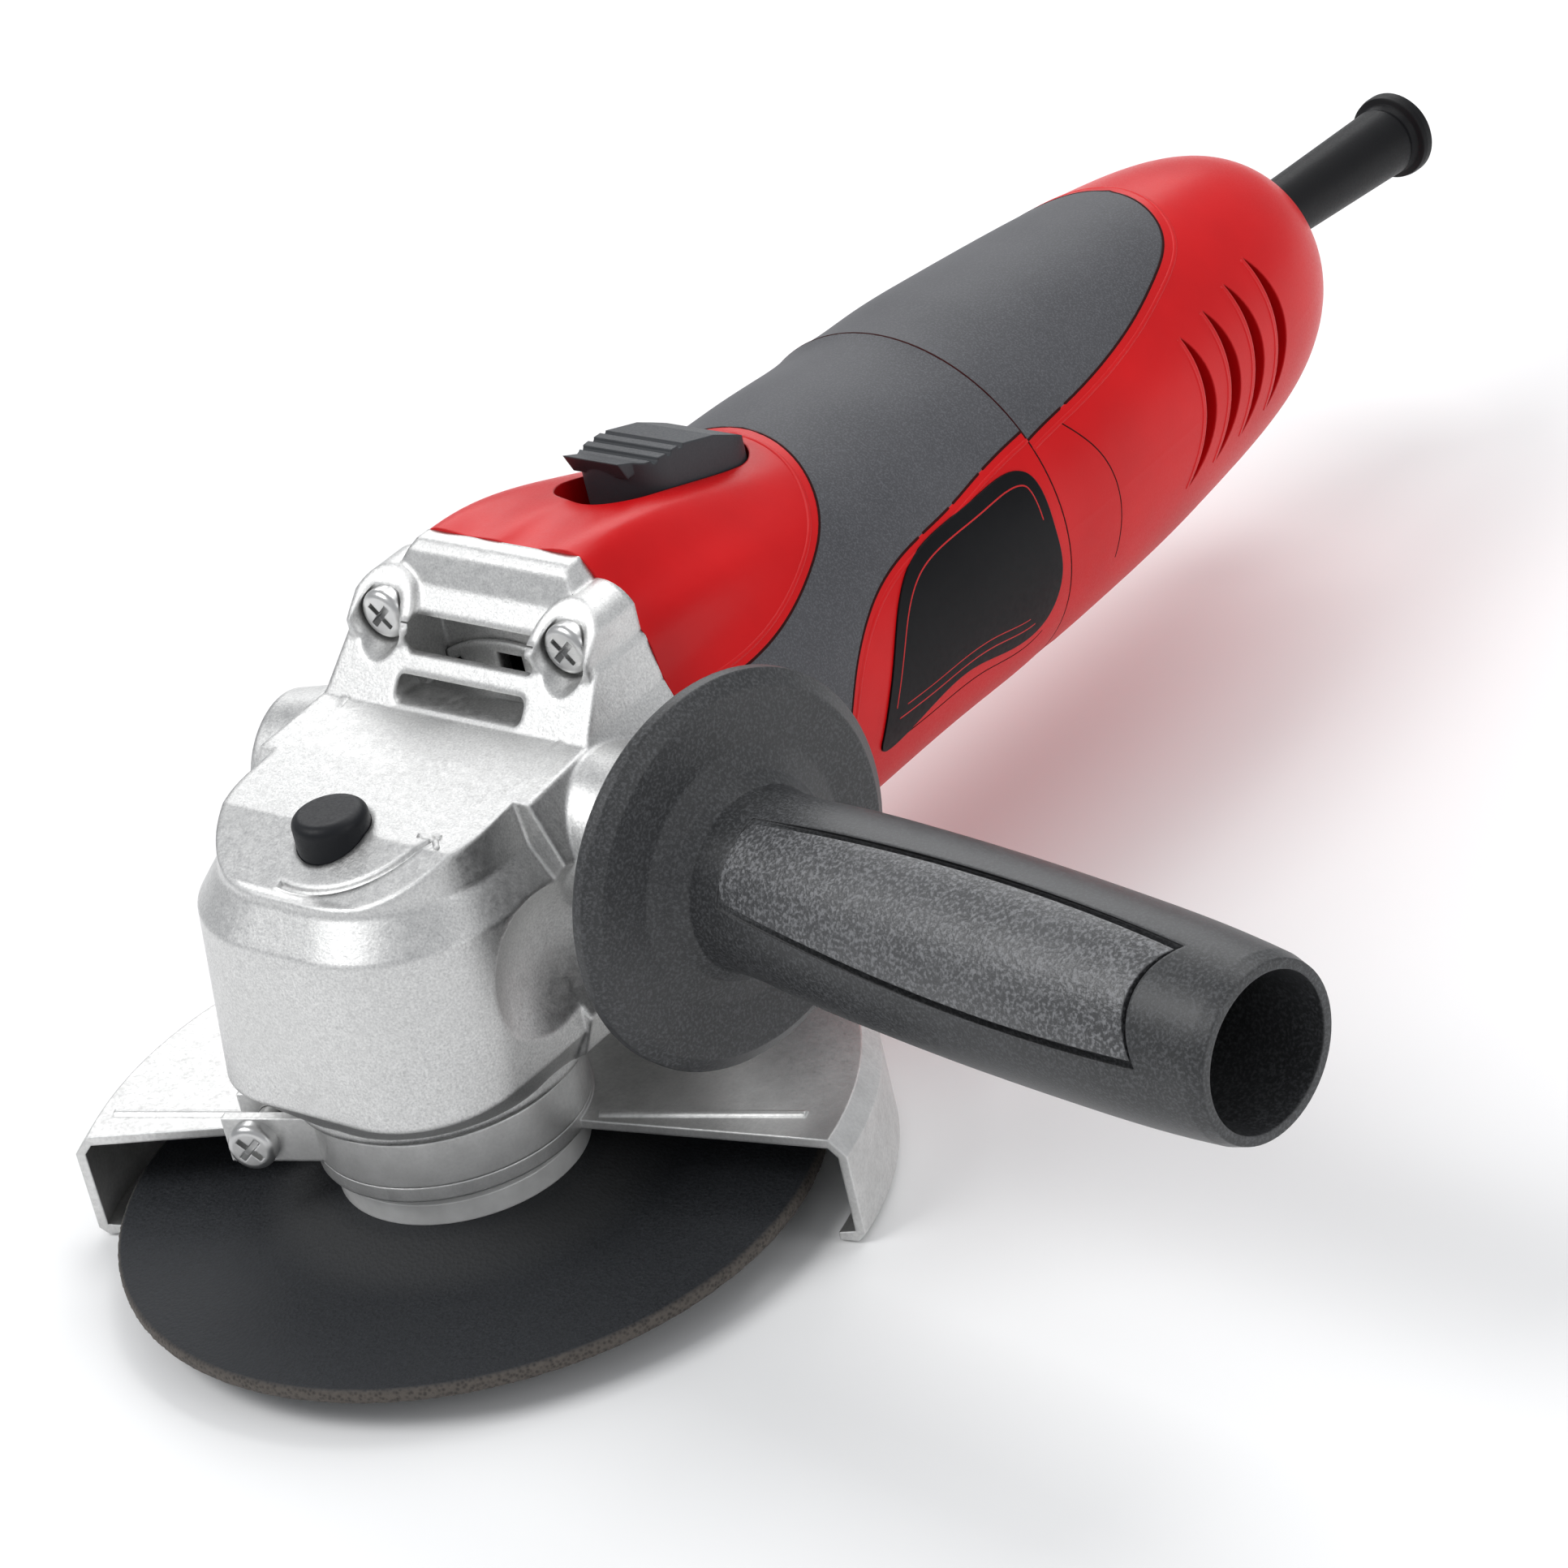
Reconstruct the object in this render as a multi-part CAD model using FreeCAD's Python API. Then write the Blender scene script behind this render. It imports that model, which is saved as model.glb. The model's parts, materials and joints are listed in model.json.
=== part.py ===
import FreeCAD, Part
import math
import os

# Corded angle grinder for 115 mm discs. Millimetres, +Z up along the spindle, +Y towards the cord,
# +X towards the fitted side handle. z = 0 is the working plane of the disc rim.

os.makedirs("parts", exist_ok=True)

# Driving dimensions
DISC_RADIUS = 57.5
DISC_THICKNESS = 2.6
DISC_BORE_RADIUS = 11.115
DISC_CENTRE_Z = 3.6
SPINDLE_THREAD_RADIUS = 6.9
SPINDLE_JOURNAL_RADIUS = 6.0
SPINDLE_TOP_RADIUS = 4.5
SPINDLE_TOP_Z = 63.4
MOTOR_Z = 50.0
CROWN_TEETH = 37
PINION_TEETH = 11
CROWN_PITCH_RADIUS = 18.5
PINION_PITCH_RADIUS = 5.5
TOOTH_FACE = 8.0
JOINT_Y = 41.0
SEAM_Y = 135.0
BODY_END_Y = 242.0
SHELL_WALL = 2.6
GRIP_LAYER = 1.2
HANDLE_SWEEP_DEG = 7.4
HANDLE_ORIGIN = (0.0, 24.9, 58.6)
HANDLE_BOSS_S = 37.0
HANDLE_END_S = 160.0
HANDLE_GUARD_RADIUS = 31.0
STUD_RADIUS = 4.0
NECK_RADIUS = 20.6
BAND_INNER_RADIUS = 20.7
BAND_OUTER_RADIUS = 22.3
BAND_LOW_Z = 14.6
BAND_HIGH_Z = 22.6
GUARD_RADIUS = 66.0
GUARD_TOP_Z = 13.6
GUARD_TURN_DEG = 20.0
GUARD_OFFSET = 1.6
SHEET = 1.6
STATOR_RADIUS = 25.5
CORE_RADIUS = 14.4
SHAFT_RADIUS = 5.0
COMMUTATOR_RADIUS = 11.0
BRUSH_Y = 148.0
SLEEVE_DROP_DEG = 4.3
CORD_RADIUS = 3.7

X_AXIS = FreeCAD.Vector(1, 0, 0)
Y_AXIS = FreeCAD.Vector(0, 1, 0)
Z_AXIS = FreeCAD.Vector(0, 0, 1)
ORIGIN = FreeCAD.Vector(0, 0, 0)

# Half outline of the rear flange of the gear head, as (x, z), from the top centre to the bottom centre
FLANGE_OUTLINE = [
    (0.0, 93.3), (15.5, 93.3), (19.0, 88.0), (25.3, 81.0), (26.8, 73.5), (32.0, 62.0),
    (33.5, 50.0), (32.0, 40.0), (26.0, 26.5), (14.0, 19.0), (0.0, 18.0),
]
FLANGE_CENTRE_Z = 51.6

# Stations of the body: distance behind the spindle, axis height, radius
FRONT_STATIONS = [
    (41.0, 51.6, 34.3), (50.0, 51.6, 34.2), (60.0, 51.3, 34.0), (70.0, 50.9, 33.7),
    (80.0, 50.5, 33.4), (90.0, 50.0, 33.2), (100.0, 49.7, 33.0),
    (118.0, 49.2, 32.8), (135.0, 48.8, 32.7),
]
REAR_STATIONS = [
    (135.0, 48.8, 32.7), (150.0, 48.2, 32.4), (165.0, 47.6, 31.7),
    (178.0, 47.1, 30.8), (190.0, 46.8, 29.7),
    (210.0, 46.3, 27.3), (225.0, 46.4, 23.9), (233.0, 46.9, 20.2),
    (238.5, 47.4, 15.6), (242.0, 47.8, 10.5),
]


def v(x, y, z):
    return FreeCAD.Vector(x, y, z)


def cylinder(radius, length, base, axis=Z_AXIS):
    return Part.makeCylinder(radius, length, base, axis)


def tube(outer, inner, length, base, axis=Z_AXIS):
    return cylinder(outer, length, base, axis).cut(cylinder(inner, length, base, axis))


def block(x0, x1, y0, y1, z0, z1):
    return Part.makeBox(x1 - x0, y1 - y0, z1 - z0, v(x0, y0, z0))


def fuse(shapes):
    result = shapes[0]
    if len(shapes) > 1:
        result = result.multiFuse(shapes[1:])
    return result.removeSplitter()


def cut(shape, tools):
    for tool in tools:
        shape = shape.cut(tool)
    return shape


def turn(shape, degrees, centre=ORIGIN, axis=Z_AXIS):
    result = shape.copy()
    result.rotate(centre, axis, degrees)
    return result


def mirror_x(shape):
    return shape.mirror(ORIGIN, X_AXIS)


def polar(shape, count, centre=ORIGIN, axis=Z_AXIS):
    return [turn(shape, 360.0 * index / count, centre, axis) for index in range(count)]


def lathe(profile, centre=ORIGIN, axis=Z_AXIS):
    # profile is a closed list of (radius, height along the axis)
    if abs(axis.z) > 0.9:
        across = X_AXIS
    else:
        across = Z_AXIS
    points = [centre + across * r + axis * h for r, h in profile]
    points.append(points[0])
    face = Part.Face(Part.makePolygon(points))
    return face.revolve(centre, axis, 360)


def prism_yz(outline, x0, x1):
    points = [v(x0, y, z) for y, z in outline]
    points.append(points[0])
    return Part.Face(Part.makePolygon(points)).extrude(v(x1 - x0, 0, 0))


def prism_xy(outline, z0, z1):
    points = [v(x, y, z0) for x, y in outline]
    points.append(points[0])
    return Part.Face(Part.makePolygon(points)).extrude(v(0, 0, z1 - z0))


def solids_only(shape):
    solids = [solid for solid in shape.Solids if solid.Volume > 0.5]
    if len(solids) == 1:
        return solids[0]
    return Part.makeCompound(solids)


def group(shapes):
    solids = []
    for shape in shapes:
        solids.extend(shape.Solids)
    return Part.makeCompound(solids)


def save(node, shape):
    result = solids_only(shape)
    result.exportStep("parts/" + node + ".step")
    print(node, len(result.Solids), round(result.Volume / 1000.0, 2), result.isValid())


def flange_radius(angle):
    # distance from the flange centre to its outline, along a ray turned by angle from +Z
    dx = abs(math.sin(angle))
    dz = math.cos(angle)
    best = 0.0
    for (x0, z0), (x1, z1) in zip(FLANGE_OUTLINE, FLANGE_OUTLINE[1:]):
        ex = x1 - x0
        ez = z1 - z0
        determinant = ex * dz - ez * dx
        if abs(determinant) < 1e-9:
            continue
        px = x0
        pz = z0 - FLANGE_CENTRE_Z
        distance = (ex * pz - ez * px) / determinant
        along = (dx * pz - dz * px) / determinant
        if distance > 0 and -1e-6 <= along <= 1 + 1e-6:
            best = max(best, distance)
    return best


def body_section(station, inset=0.0):
    # the square-shouldered flange outline melts into a circle over the length of the switch hump
    y, axis_z, radius = station
    blend = 0.0
    if y < 98.0:
        blend = 0.5 * (1 + math.cos(math.pi * (y - JOINT_Y) / 57.0))
    points = []
    for index in range(36):
        angle = math.radians(10.0 * index)
        distance = radius + blend * (flange_radius(angle) - radius) - inset
        points.append(v(distance * math.sin(angle), y, axis_z + distance * math.cos(angle)))
    curve = Part.BSplineCurve()
    curve.interpolate(Points=points, PeriodicFlag=True)
    return Part.Wire(curve.toShape())


def front_body(inset=0.0):
    return Part.makeLoft([body_section(station, inset) for station in FRONT_STATIONS], True, False)


def rear_body(inset=0.0):
    wires = []
    for y, axis_z, radius in REAR_STATIONS:
        wires.append(Part.Wire(Part.makeCircle(radius - inset, v(0, y, axis_z), Y_AXIS)))
    return Part.makeLoft(wires, True, False)


def cross_screw(head_radius, head_height, shank_radius, length, seat, direction):
    # pan-head cross-recess screw: the head's underside sits at seat, the shank runs along direction
    head = cylinder(head_radius, head_height, seat - direction * head_height, direction)
    top_edges = []
    for edge in head.Edges:
        if abs((edge.CenterOfMass - seat).dot(direction) + head_height) < 1e-6:
            top_edges.append(edge)
    head = head.makeFillet(head_height * 0.45, top_edges[:1])
    shank = cylinder(shank_radius, length, seat, direction)
    screw = head.fuse(shank)
    across = Z_AXIS if abs(direction.z) < 0.5 else X_AXIS
    for degrees in (45, 135):
        slot = Part.makeBox(head_radius * 1.2, head_radius * 0.26, head_height * 0.6)
        slot.translate(v(-head_radius * 0.6, -head_radius * 0.13, 0))
        slot.Placement = FreeCAD.Placement(
            seat - direction * head_height, FreeCAD.Rotation(across, ORIGIN, direction, "ZXY"),
        ).multiply(FreeCAD.Placement(ORIGIN, FreeCAD.Rotation(Z_AXIS, degrees))).multiply(slot.Placement)
        screw = screw.cut(slot)
    return screw


def bearing(outer, inner, width, centre, axis, balls):
    # deep-groove ball bearing around centre: outer ring with its shields, then inner ring and balls
    middle = 0.5 * (outer + inner)
    ball = 0.27 * (outer - inner)
    base = centre - axis * (0.5 * width)
    groove = Part.makeTorus(middle, ball + 0.06, centre, axis)
    outer_ring = tube(outer, middle + 0.55 * ball, width, base, axis).cut(groove)
    shield = tube(middle + 0.6 * ball, inner + 1.2, 0.4, base, axis)
    far_shield = tube(middle + 0.6 * ball, inner + 1.2, 0.4, base + axis * (width - 0.4), axis)
    outer_ring = outer_ring.fuse(shield).fuse(far_shield)
    inner_ring = tube(inner + 1.1, inner, width, base, axis)
    inner_ring = inner_ring.fuse(tube(middle - 0.55 * ball, inner, width - 1.2, base + axis * 0.6, axis))
    inner_ring = inner_ring.cut(groove)
    across = X_AXIS if abs(axis.x) < 0.5 else Y_AXIS
    first = Part.makeSphere(ball, centre + across * middle)
    return outer_ring, group([inner_ring] + polar(first, balls, centre, axis))


def coil_spring(start):
    # three turns of round wire round +Z, the middle of the wire starting at the height of start
    path = Part.Wire(Part.makeHelix(1.3, 3.9, 2.3).Edges)
    wire_section = Part.Wire(Part.makeCircle(0.35, v(2.3, 0, 0), Y_AXIS))
    spring = path.makePipeShell([wire_section], True, True)
    spring.translate(start)
    return spring


# ---------------------------------------------------------------- gear head casting

def head_outline(z, half_width, front, corner, rear=30.0):
    # plan outline of the gear barrel: straight sides, rounded front corners
    side_y = front + corner
    front_x = half_width - corner
    offset = corner * math.sqrt(0.5)
    right_mid = v(front_x + offset, side_y - offset, z)
    left_mid = v(-front_x - offset, side_y - offset, z)
    edges = [
        Part.makeLine(v(half_width, rear, z), v(half_width, side_y, z)),
        Part.Arc(v(half_width, side_y, z), right_mid, v(front_x, front, z)).toShape(),
        Part.makeLine(v(front_x, front, z), v(-front_x, front, z)),
        Part.Arc(v(-front_x, front, z), left_mid, v(-half_width, side_y, z)).toShape(),
        Part.makeLine(v(-half_width, side_y, z), v(-half_width, rear, z)),
        Part.makeLine(v(-half_width, rear, z), v(half_width, rear, z)),
    ]
    return Part.Wire(edges)


HEAD_LEVELS = [
    (24.2, 22.8, -23.0, 22.0),
    (31.0, 27.3, -28.2, 17.0),
    (59.0, 29.0, -26.2, 23.0),
    (64.5, 25.5, -21.8, 20.5),
    (76.0, 24.0, -19.5, 19.5),
]
barrel_parts = []
for lower, upper in zip(HEAD_LEVELS, HEAD_LEVELS[1:]):
    barrel_parts.append(Part.makeLoft([head_outline(*lower), head_outline(*upper)], True, True))
flange_points = [v(x, 6.0, z) for x, z in FLANGE_OUTLINE]
flange_points += [v(-x, 6.0, z) for x, z in reversed(FLANGE_OUTLINE[1:-1])]
flange_points.append(flange_points[0])
flange_block = Part.Face(Part.makePolygon(flange_points)).extrude(v(0, JOINT_Y - 6.0, 0))
# the flange block rises clear of the guard collar and slopes down to the full flange at the joint
flange_block = flange_block.cut(prism_yz([(0, 0), (0, 24.2), (31, 24.2), (38, 17.5), (38, 0)], -50, 50))
head = fuse(barrel_parts + [flange_block])

# everything above this side profile is open air: front crown, sloping top, steep face, top plate
CROWN_PROFILE = [
    (-60.0, 66.0), (-19.5, 66.0), (-8.0, 70.6), (8.0, 72.0), (21.3, 72.8), (34.4, 87.6), (36.6, 92.2),
    (38.2, 93.3), (60.0, 93.3), (60.0, 130.0), (-60.0, 130.0),
]
head = head.cut(prism_yz(CROWN_PROFILE, -60, 60))

handle_axis = v(math.cos(math.radians(HANDLE_SWEEP_DEG)), -math.sin(math.radians(HANDLE_SWEEP_DEG)), 0)
mirror_axis = v(-handle_axis.x, handle_axis.y, 0)
handle_origin = v(*HANDLE_ORIGIN)
for side in (1, -1):
    # smooth hollow between the barrel and the handle boss
    head = head.cut(Part.makeSphere(22.0, v(side * 46.5, 1.0, 46.0)))
for axis in (handle_axis, mirror_axis):
    boss = Part.makeCone(14.5, 12.2, HANDLE_BOSS_S - 22.0, handle_origin + axis * 22.0, axis)
    head = head.fuse(boss)

# bosses at the upper corners and flared pockets for the heads of the flange screws
SCREW_SPOTS = [(18.8, 83.4, 32.2), (-18.8, 83.4, 32.2), (23.2, 28.8, 33.4), (-23.2, 28.8, 33.4)]
for x, z, seat_y in SCREW_SPOTS[:2]:
    boss = cylinder(6.6, JOINT_Y - 27.6, v(x, 27.6, z), Y_AXIS)
    keep = prism_yz([
        (26.0, 60.0), (JOINT_Y, 60.0), (JOINT_Y, 93.3), (38.2, 93.3), (28.6, 84.0), (26.0, 81.0),
    ], -24.6, 24.6)
    head = head.fuse(boss.common(keep))
for x, z, seat_y in SCREW_SPOTS:
    head = head.cut(cylinder(4.7, 20.0, v(x, seat_y - 20.0, z), Y_AXIS))
    head = head.cut(Part.makeCone(7.4, 4.7, 8.0, v(x, seat_y - 11.0, z), Y_AXIS))
    head = head.cut(cylinder(1.85, 20.0, v(x, seat_y - 1.0, z), Y_AXIS))

# gear chamber, spindle bush boss, pinion passage and bearing hub seat
gear_chamber = cylinder(21.0, 58.0 - 20.0, v(0, 0, 20.0))
bush_boss = cylinder(8.0, 10.0, v(0, 0, 57.2))
bore_tools = [
    gear_chamber.cut(bush_boss),
    cylinder(5.9, SPINDLE_TOP_Z - 57.0 + 1.4, v(0, 0, 57.0)),
    cylinder(9.5, 26.0, v(0, 10.0, MOTOR_Z), Y_AXIS),
    cylinder(16.05, 14.1, v(0, 23.9, MOTOR_Z), Y_AXIS),
    cylinder(28.05, 5.1, v(0, JOINT_Y - 5.0, MOTOR_Z), Y_AXIS),
]
head = cut(head, bore_tools)
# seat for the bearing flange from below
head = head.cut(cylinder(24.05, 4.6, v(0, 0, 24.0)))
# air duct behind the two slots
head = head.cut(block(-13.6, 13.6, 28.4, 37.0, 71.6, 84.0))
for low, high, depth in ((73.2, 76.9, 14.0), (79.2, 82.4, 20.0)):
    slot = block(-13.2, 13.2, depth, 30.0, low, high)
    corners = [edge for edge in slot.Edges if abs(edge.tangentAt(edge.FirstParameter).y) > 0.9]
    head = head.cut(slot.makeFillet(1.5, corners))
# lock button well and pin guide
LOCK_Y = -8.3
head = head.cut(cylinder(6.12, 14.0, v(0, LOCK_Y, 62.1)))
head = head.cut(cylinder(2.05, 12.0, v(0, LOCK_Y, 56.0)))
# threaded handle holes, one each side
for axis in (handle_axis, mirror_axis):
    head = head.cut(cylinder(STUD_RADIUS, 13.0, handle_origin + axis * (HANDLE_BOSS_S - 13.0), axis))
# cast turning arrow: shallow groove round the spindle axis
arrow = tube(19.4, 18.2, 30.0, v(0, 0, 45.0))
arrow = arrow.common(prism_xy([(0, 0), (-6.0, -30.0), (30.0, -30.0), (30.0, -8.0)], 45.0, 75.0))
arrow = arrow.common(prism_yz([
    (-60, 65.2), (-19.5, 65.2), (-8, 69.9), (8, 71.3), (8, 90), (-60, 90),
], -60, 60))
head = head.cut(arrow)
save("gear_housing", head)

screws = []
for x, z, seat_y in SCREW_SPOTS:
    screws.append(cross_screw(4.2, 2.8, 1.75, 19.0, v(x, seat_y, z), Y_AXIS))
save("gear_housing_screws", group(screws))

# ---------------------------------------------------------------- bearing flange and spindle

flange = lathe([
    (NECK_RADIUS, 14.2), (NECK_RADIUS, 24.0), (24.0, 24.0), (24.0, 28.6), (16.0, 28.6), (16.0, 18.6),
    (13.0, 18.6), (13.0, 14.2),
])
plate_screws = []
for index in range(4):
    angle = math.radians(45 + 90 * index)
    spot = v(22.2 * math.cos(angle), 22.2 * math.sin(angle), 24.0)
    plate_screws.append(cylinder(1.3, 4.6, spot))
    flange = flange.cut(cylinder(1.35, 4.6, spot))
save("bearing_flange", flange)
save("bearing_flange_screws", group(plate_screws))

spindle = lathe([
    (0, -2.4), (SPINDLE_THREAD_RADIUS - 0.8, -2.4), (SPINDLE_THREAD_RADIUS, -1.6),
    (SPINDLE_THREAD_RADIUS, 15.0), (7.6, 15.0), (7.6, 18.4), (SPINDLE_JOURNAL_RADIUS, 18.4),
    (SPINDLE_JOURNAL_RADIUS, 46.0), (SPINDLE_TOP_RADIUS, 46.0),
    (SPINDLE_TOP_RADIUS, SPINDLE_TOP_Z - 0.5),
    (SPINDLE_TOP_RADIUS - 0.5, SPINDLE_TOP_Z), (0, SPINDLE_TOP_Z),
])
# thread grooves below the flange seat
for index in range(8):
    ring_z = -1.0 + 2.0 * index
    groove = lathe([(6.45, ring_z + 0.5), (7.2, ring_z), (7.2, ring_z + 1.0)])
    if ring_z < 3.0:
        spindle = spindle.cut(groove)
save("spindle", spindle)

outer, inner = bearing(16.0, SPINDLE_JOURNAL_RADIUS, 10.0, v(0, 0, 23.6), Z_AXIS, 9)
save("spindle_bearing_outer", outer)
save("spindle_bearing_inner", inner)
save("spindle_bush", tube(5.9, SPINDLE_TOP_RADIUS + 0.04, 4.6, v(0, 0, 57.2)))

# crown gear: bevel teeth whose edges run to the crossing point of the two gear axes
apex = v(0, 0, MOTOR_Z)


def towards_apex(point, factor):
    return apex + (point - apex) * factor


def bevel_tooth(corners, small_factor):
    big = Part.makePolygon(corners + [corners[0]])
    small_corners = [towards_apex(corner, small_factor) for corner in corners]
    small = Part.makePolygon(small_corners + [small_corners[0]])
    return Part.makeLoft([big, small], True, True)


small_factor = (CROWN_PITCH_RADIUS - TOOTH_FACE) / CROWN_PITCH_RADIUS
pitch_z = MOTOR_Z - PINION_PITCH_RADIUS
crown_tooth = bevel_tooth([
    v(CROWN_PITCH_RADIUS, -0.95, pitch_z - 1.3), v(CROWN_PITCH_RADIUS, 0.95, pitch_z - 1.3),
    v(CROWN_PITCH_RADIUS, 0.36, pitch_z + 0.75), v(CROWN_PITCH_RADIUS, -0.36, pitch_z + 0.75),
], small_factor)
root_big = pitch_z - 1.1
root_small = MOTOR_Z - (MOTOR_Z - root_big) * small_factor
crown_body = lathe([
    (SPINDLE_JOURNAL_RADIUS, 31.0), (10.0, 31.0), (10.0, 33.5), (19.3, 36.0), (19.3, root_big - 1.0),
    (CROWN_PITCH_RADIUS, root_big), (CROWN_PITCH_RADIUS * small_factor, root_small), (10.3, 44.8),
    (SPINDLE_JOURNAL_RADIUS, 44.8),
])
crown_teeth = polar(turn(crown_tooth, 90), CROWN_TEETH)
crown = crown_body.multiFuse(crown_teeth)
# holes for the lock pin
crown = cut(crown, polar(cylinder(2.5, 5.0, v(0, LOCK_Y, 40.0)), 4))
save("crown_gear", crown)
retaining_ring = tube(8.2, SPINDLE_JOURNAL_RADIUS, 0.8, v(0, 0, 44.8))
save("retaining_ring", retaining_ring.cut(block(-1, 1, 5, 10, 44, 47)))

pinion_tooth = bevel_tooth([
    v(0.98, CROWN_PITCH_RADIUS, MOTOR_Z + PINION_PITCH_RADIUS - 1.45),
    v(-0.98, CROWN_PITCH_RADIUS, MOTOR_Z + PINION_PITCH_RADIUS - 1.45),
    v(-0.3, CROWN_PITCH_RADIUS, MOTOR_Z + PINION_PITCH_RADIUS + 0.85),
    v(0.3, CROWN_PITCH_RADIUS, MOTOR_Z + PINION_PITCH_RADIUS + 0.85),
], small_factor)
pinion_core = Part.makeCone(
    (PINION_PITCH_RADIUS - 1.2) * small_factor, PINION_PITCH_RADIUS - 1.2, TOOTH_FACE,
    v(0, CROWN_PITCH_RADIUS - TOOTH_FACE, MOTOR_Z), Y_AXIS,
)
pinion_hub = cylinder(6.3, 3.8, v(0, CROWN_PITCH_RADIUS, MOTOR_Z), Y_AXIS)
pinion = pinion_core.fuse(pinion_hub).multiFuse(polar(pinion_tooth, PINION_TEETH, apex, Y_AXIS))
pinion = pinion.cut(cylinder(2.0, 20.0, v(0, 8.0, MOTOR_Z), Y_AXIS))
save("pinion", pinion)
pinion_front_y = CROWN_PITCH_RADIUS - TOOTH_FACE
save("pinion_nut", lathe([
    (2.05, 6.4), (3.0, 6.4), (3.5, 6.9), (3.5, 9.6), (2.4, 9.8),
    (2.4, pinion_front_y), (2.05, pinion_front_y),
], v(0, 0, MOTOR_Z), Y_AXIS))

# ---------------------------------------------------------------- disc, flange and clamp nut

inner_flange = lathe([
    (7.0, DISC_CENTRE_Z + 0.6),
    (DISC_BORE_RADIUS - 0.06, DISC_CENTRE_Z + 0.6), (DISC_BORE_RADIUS - 0.06, 6.2),
    (20.3, 6.2), (20.3, 9.9), (19.6, 10.4), (17.6, 10.4), (17.6, 11.0),
    (18.8, 11.3), (18.8, 13.0), (11.0, 13.0),
    (11.0, 14.8), (7.0, 14.8),
])
save("inner_flange", inner_flange)

disc = lathe([
    (DISC_BORE_RADIUS, DISC_CENTRE_Z), (21.0, DISC_CENTRE_Z), (31.0, 0.0), (DISC_RADIUS - 0.3, 0.0),
    (DISC_RADIUS, 0.3), (DISC_RADIUS, DISC_THICKNESS - 0.3), (DISC_RADIUS - 0.3, DISC_THICKNESS),
    (32.0, DISC_THICKNESS), (22.0, DISC_CENTRE_Z + DISC_THICKNESS),
    (DISC_BORE_RADIUS, DISC_CENTRE_Z + DISC_THICKNESS),
])
save("grinding_disc", disc)

clamp_nut = lathe([
    (SPINDLE_THREAD_RADIUS + 0.05, -1.6), (18.6, -1.6), (20.0, -0.4), (20.0, DISC_CENTRE_Z),
    (SPINDLE_THREAD_RADIUS + 0.05, DISC_CENTRE_Z),
])
clamp_nut = cut(clamp_nut, polar(cylinder(2.5, 8.0, v(15.0, 0, -3.0)), 4))
save("clamp_nut", clamp_nut)

# ---------------------------------------------------------------- guard

GUARD_HALF_ANGLE = 97.0


def guard_lathe(profile):
    # sheet turned round the spindle over the guarded arc only
    points = [v(r, 0, z) for r, z in profile]
    points.append(points[0])
    sheet = Part.Face(Part.makePolygon(points)).revolve(ORIGIN, Z_AXIS, 2 * GUARD_HALF_ANGLE)
    return turn(sheet, 90.0 - GUARD_HALF_ANGLE)


guard = guard_lathe([
    (12.0, GUARD_TOP_Z - SHEET), (GUARD_RADIUS - 3.0, GUARD_TOP_Z - SHEET),
    (GUARD_RADIUS - SHEET, GUARD_TOP_Z - SHEET - 1.6), (GUARD_RADIUS - SHEET, -3.4),
    (GUARD_RADIUS - 4.6, -3.9), (GUARD_RADIUS - 4.6, -5.2), (GUARD_RADIUS - 1.4, -5.2),
    (GUARD_RADIUS, -3.8), (GUARD_RADIUS, GUARD_TOP_Z - 3.0), (GUARD_RADIUS - 2.6, GUARD_TOP_Z),
    (12.0, GUARD_TOP_Z),
])
# the sheet stands a little off the spindle axis, towards the side handle
guard.translate(v(GUARD_OFFSET, 0, 0))
guard = guard.cut(cylinder(BAND_INNER_RADIUS + 0.1, 10.0, v(0, 0, GUARD_TOP_Z - 5.0)))
# round collar of the sheet under the clamp band
collar_height = BAND_LOW_Z - GUARD_TOP_Z + SHEET
collar = tube(BAND_OUTER_RADIUS, BAND_INNER_RADIUS, collar_height, v(0, 0, GUARD_TOP_Z - SHEET))
guard = guard.fuse(collar)
# stiffening rib pressed along each front edge
for side in (1, -1):
    rib = cylinder(1.0, 34.0, v(side * 25.0, -1.0, GUARD_TOP_Z - 0.4), X_AXIS * side)
    guard = guard.fuse(rib.common(guard_lathe([(22.5, 10.0), (61.0, 10.0), (61.0, 16.0), (22.5, 16.0)])))
save("guard_shell", turn(guard, GUARD_TURN_DEG))

BAND_GAP_LOW = -13.4
BAND_GAP_HIGH = -8.6
band = tube(BAND_OUTER_RADIUS, BAND_INNER_RADIUS, BAND_HIGH_Z - BAND_LOW_Z, v(0, 0, BAND_LOW_Z))
front_lug = block(-32.0, -15.0, BAND_GAP_LOW - 1.8, BAND_GAP_LOW, BAND_LOW_Z, BAND_HIGH_Z)
rear_lug = block(-32.0, -18.0, BAND_GAP_HIGH, BAND_GAP_HIGH + 1.8, BAND_LOW_Z, BAND_HIGH_Z)
inside = cylinder(BAND_INNER_RADIUS, 12.0, v(0, 0, BAND_LOW_Z - 1.0))
band = band.fuse(front_lug.cut(inside)).fuse(rear_lug.cut(inside))
band = band.cut(block(-34.0, -10.0, BAND_GAP_LOW, BAND_GAP_HIGH, BAND_LOW_Z - 1.0, BAND_HIGH_Z + 1.0))
GUARD_SCREW_X = -27.0
GUARD_SCREW_Z = 18.4
band = band.cut(cylinder(2.1, 10.0, v(GUARD_SCREW_X, BAND_GAP_LOW - 3.0, GUARD_SCREW_Z), Y_AXIS))
save("guard_band", turn(band, GUARD_TURN_DEG))
screw_seat = v(GUARD_SCREW_X, BAND_GAP_LOW - 1.8, GUARD_SCREW_Z)
guard_screw = cross_screw(4.0, 2.6, 2.0, 11.0, screw_seat, Y_AXIS)
save("guard_screw", turn(guard_screw, GUARD_TURN_DEG))
nut_outline = []
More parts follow.
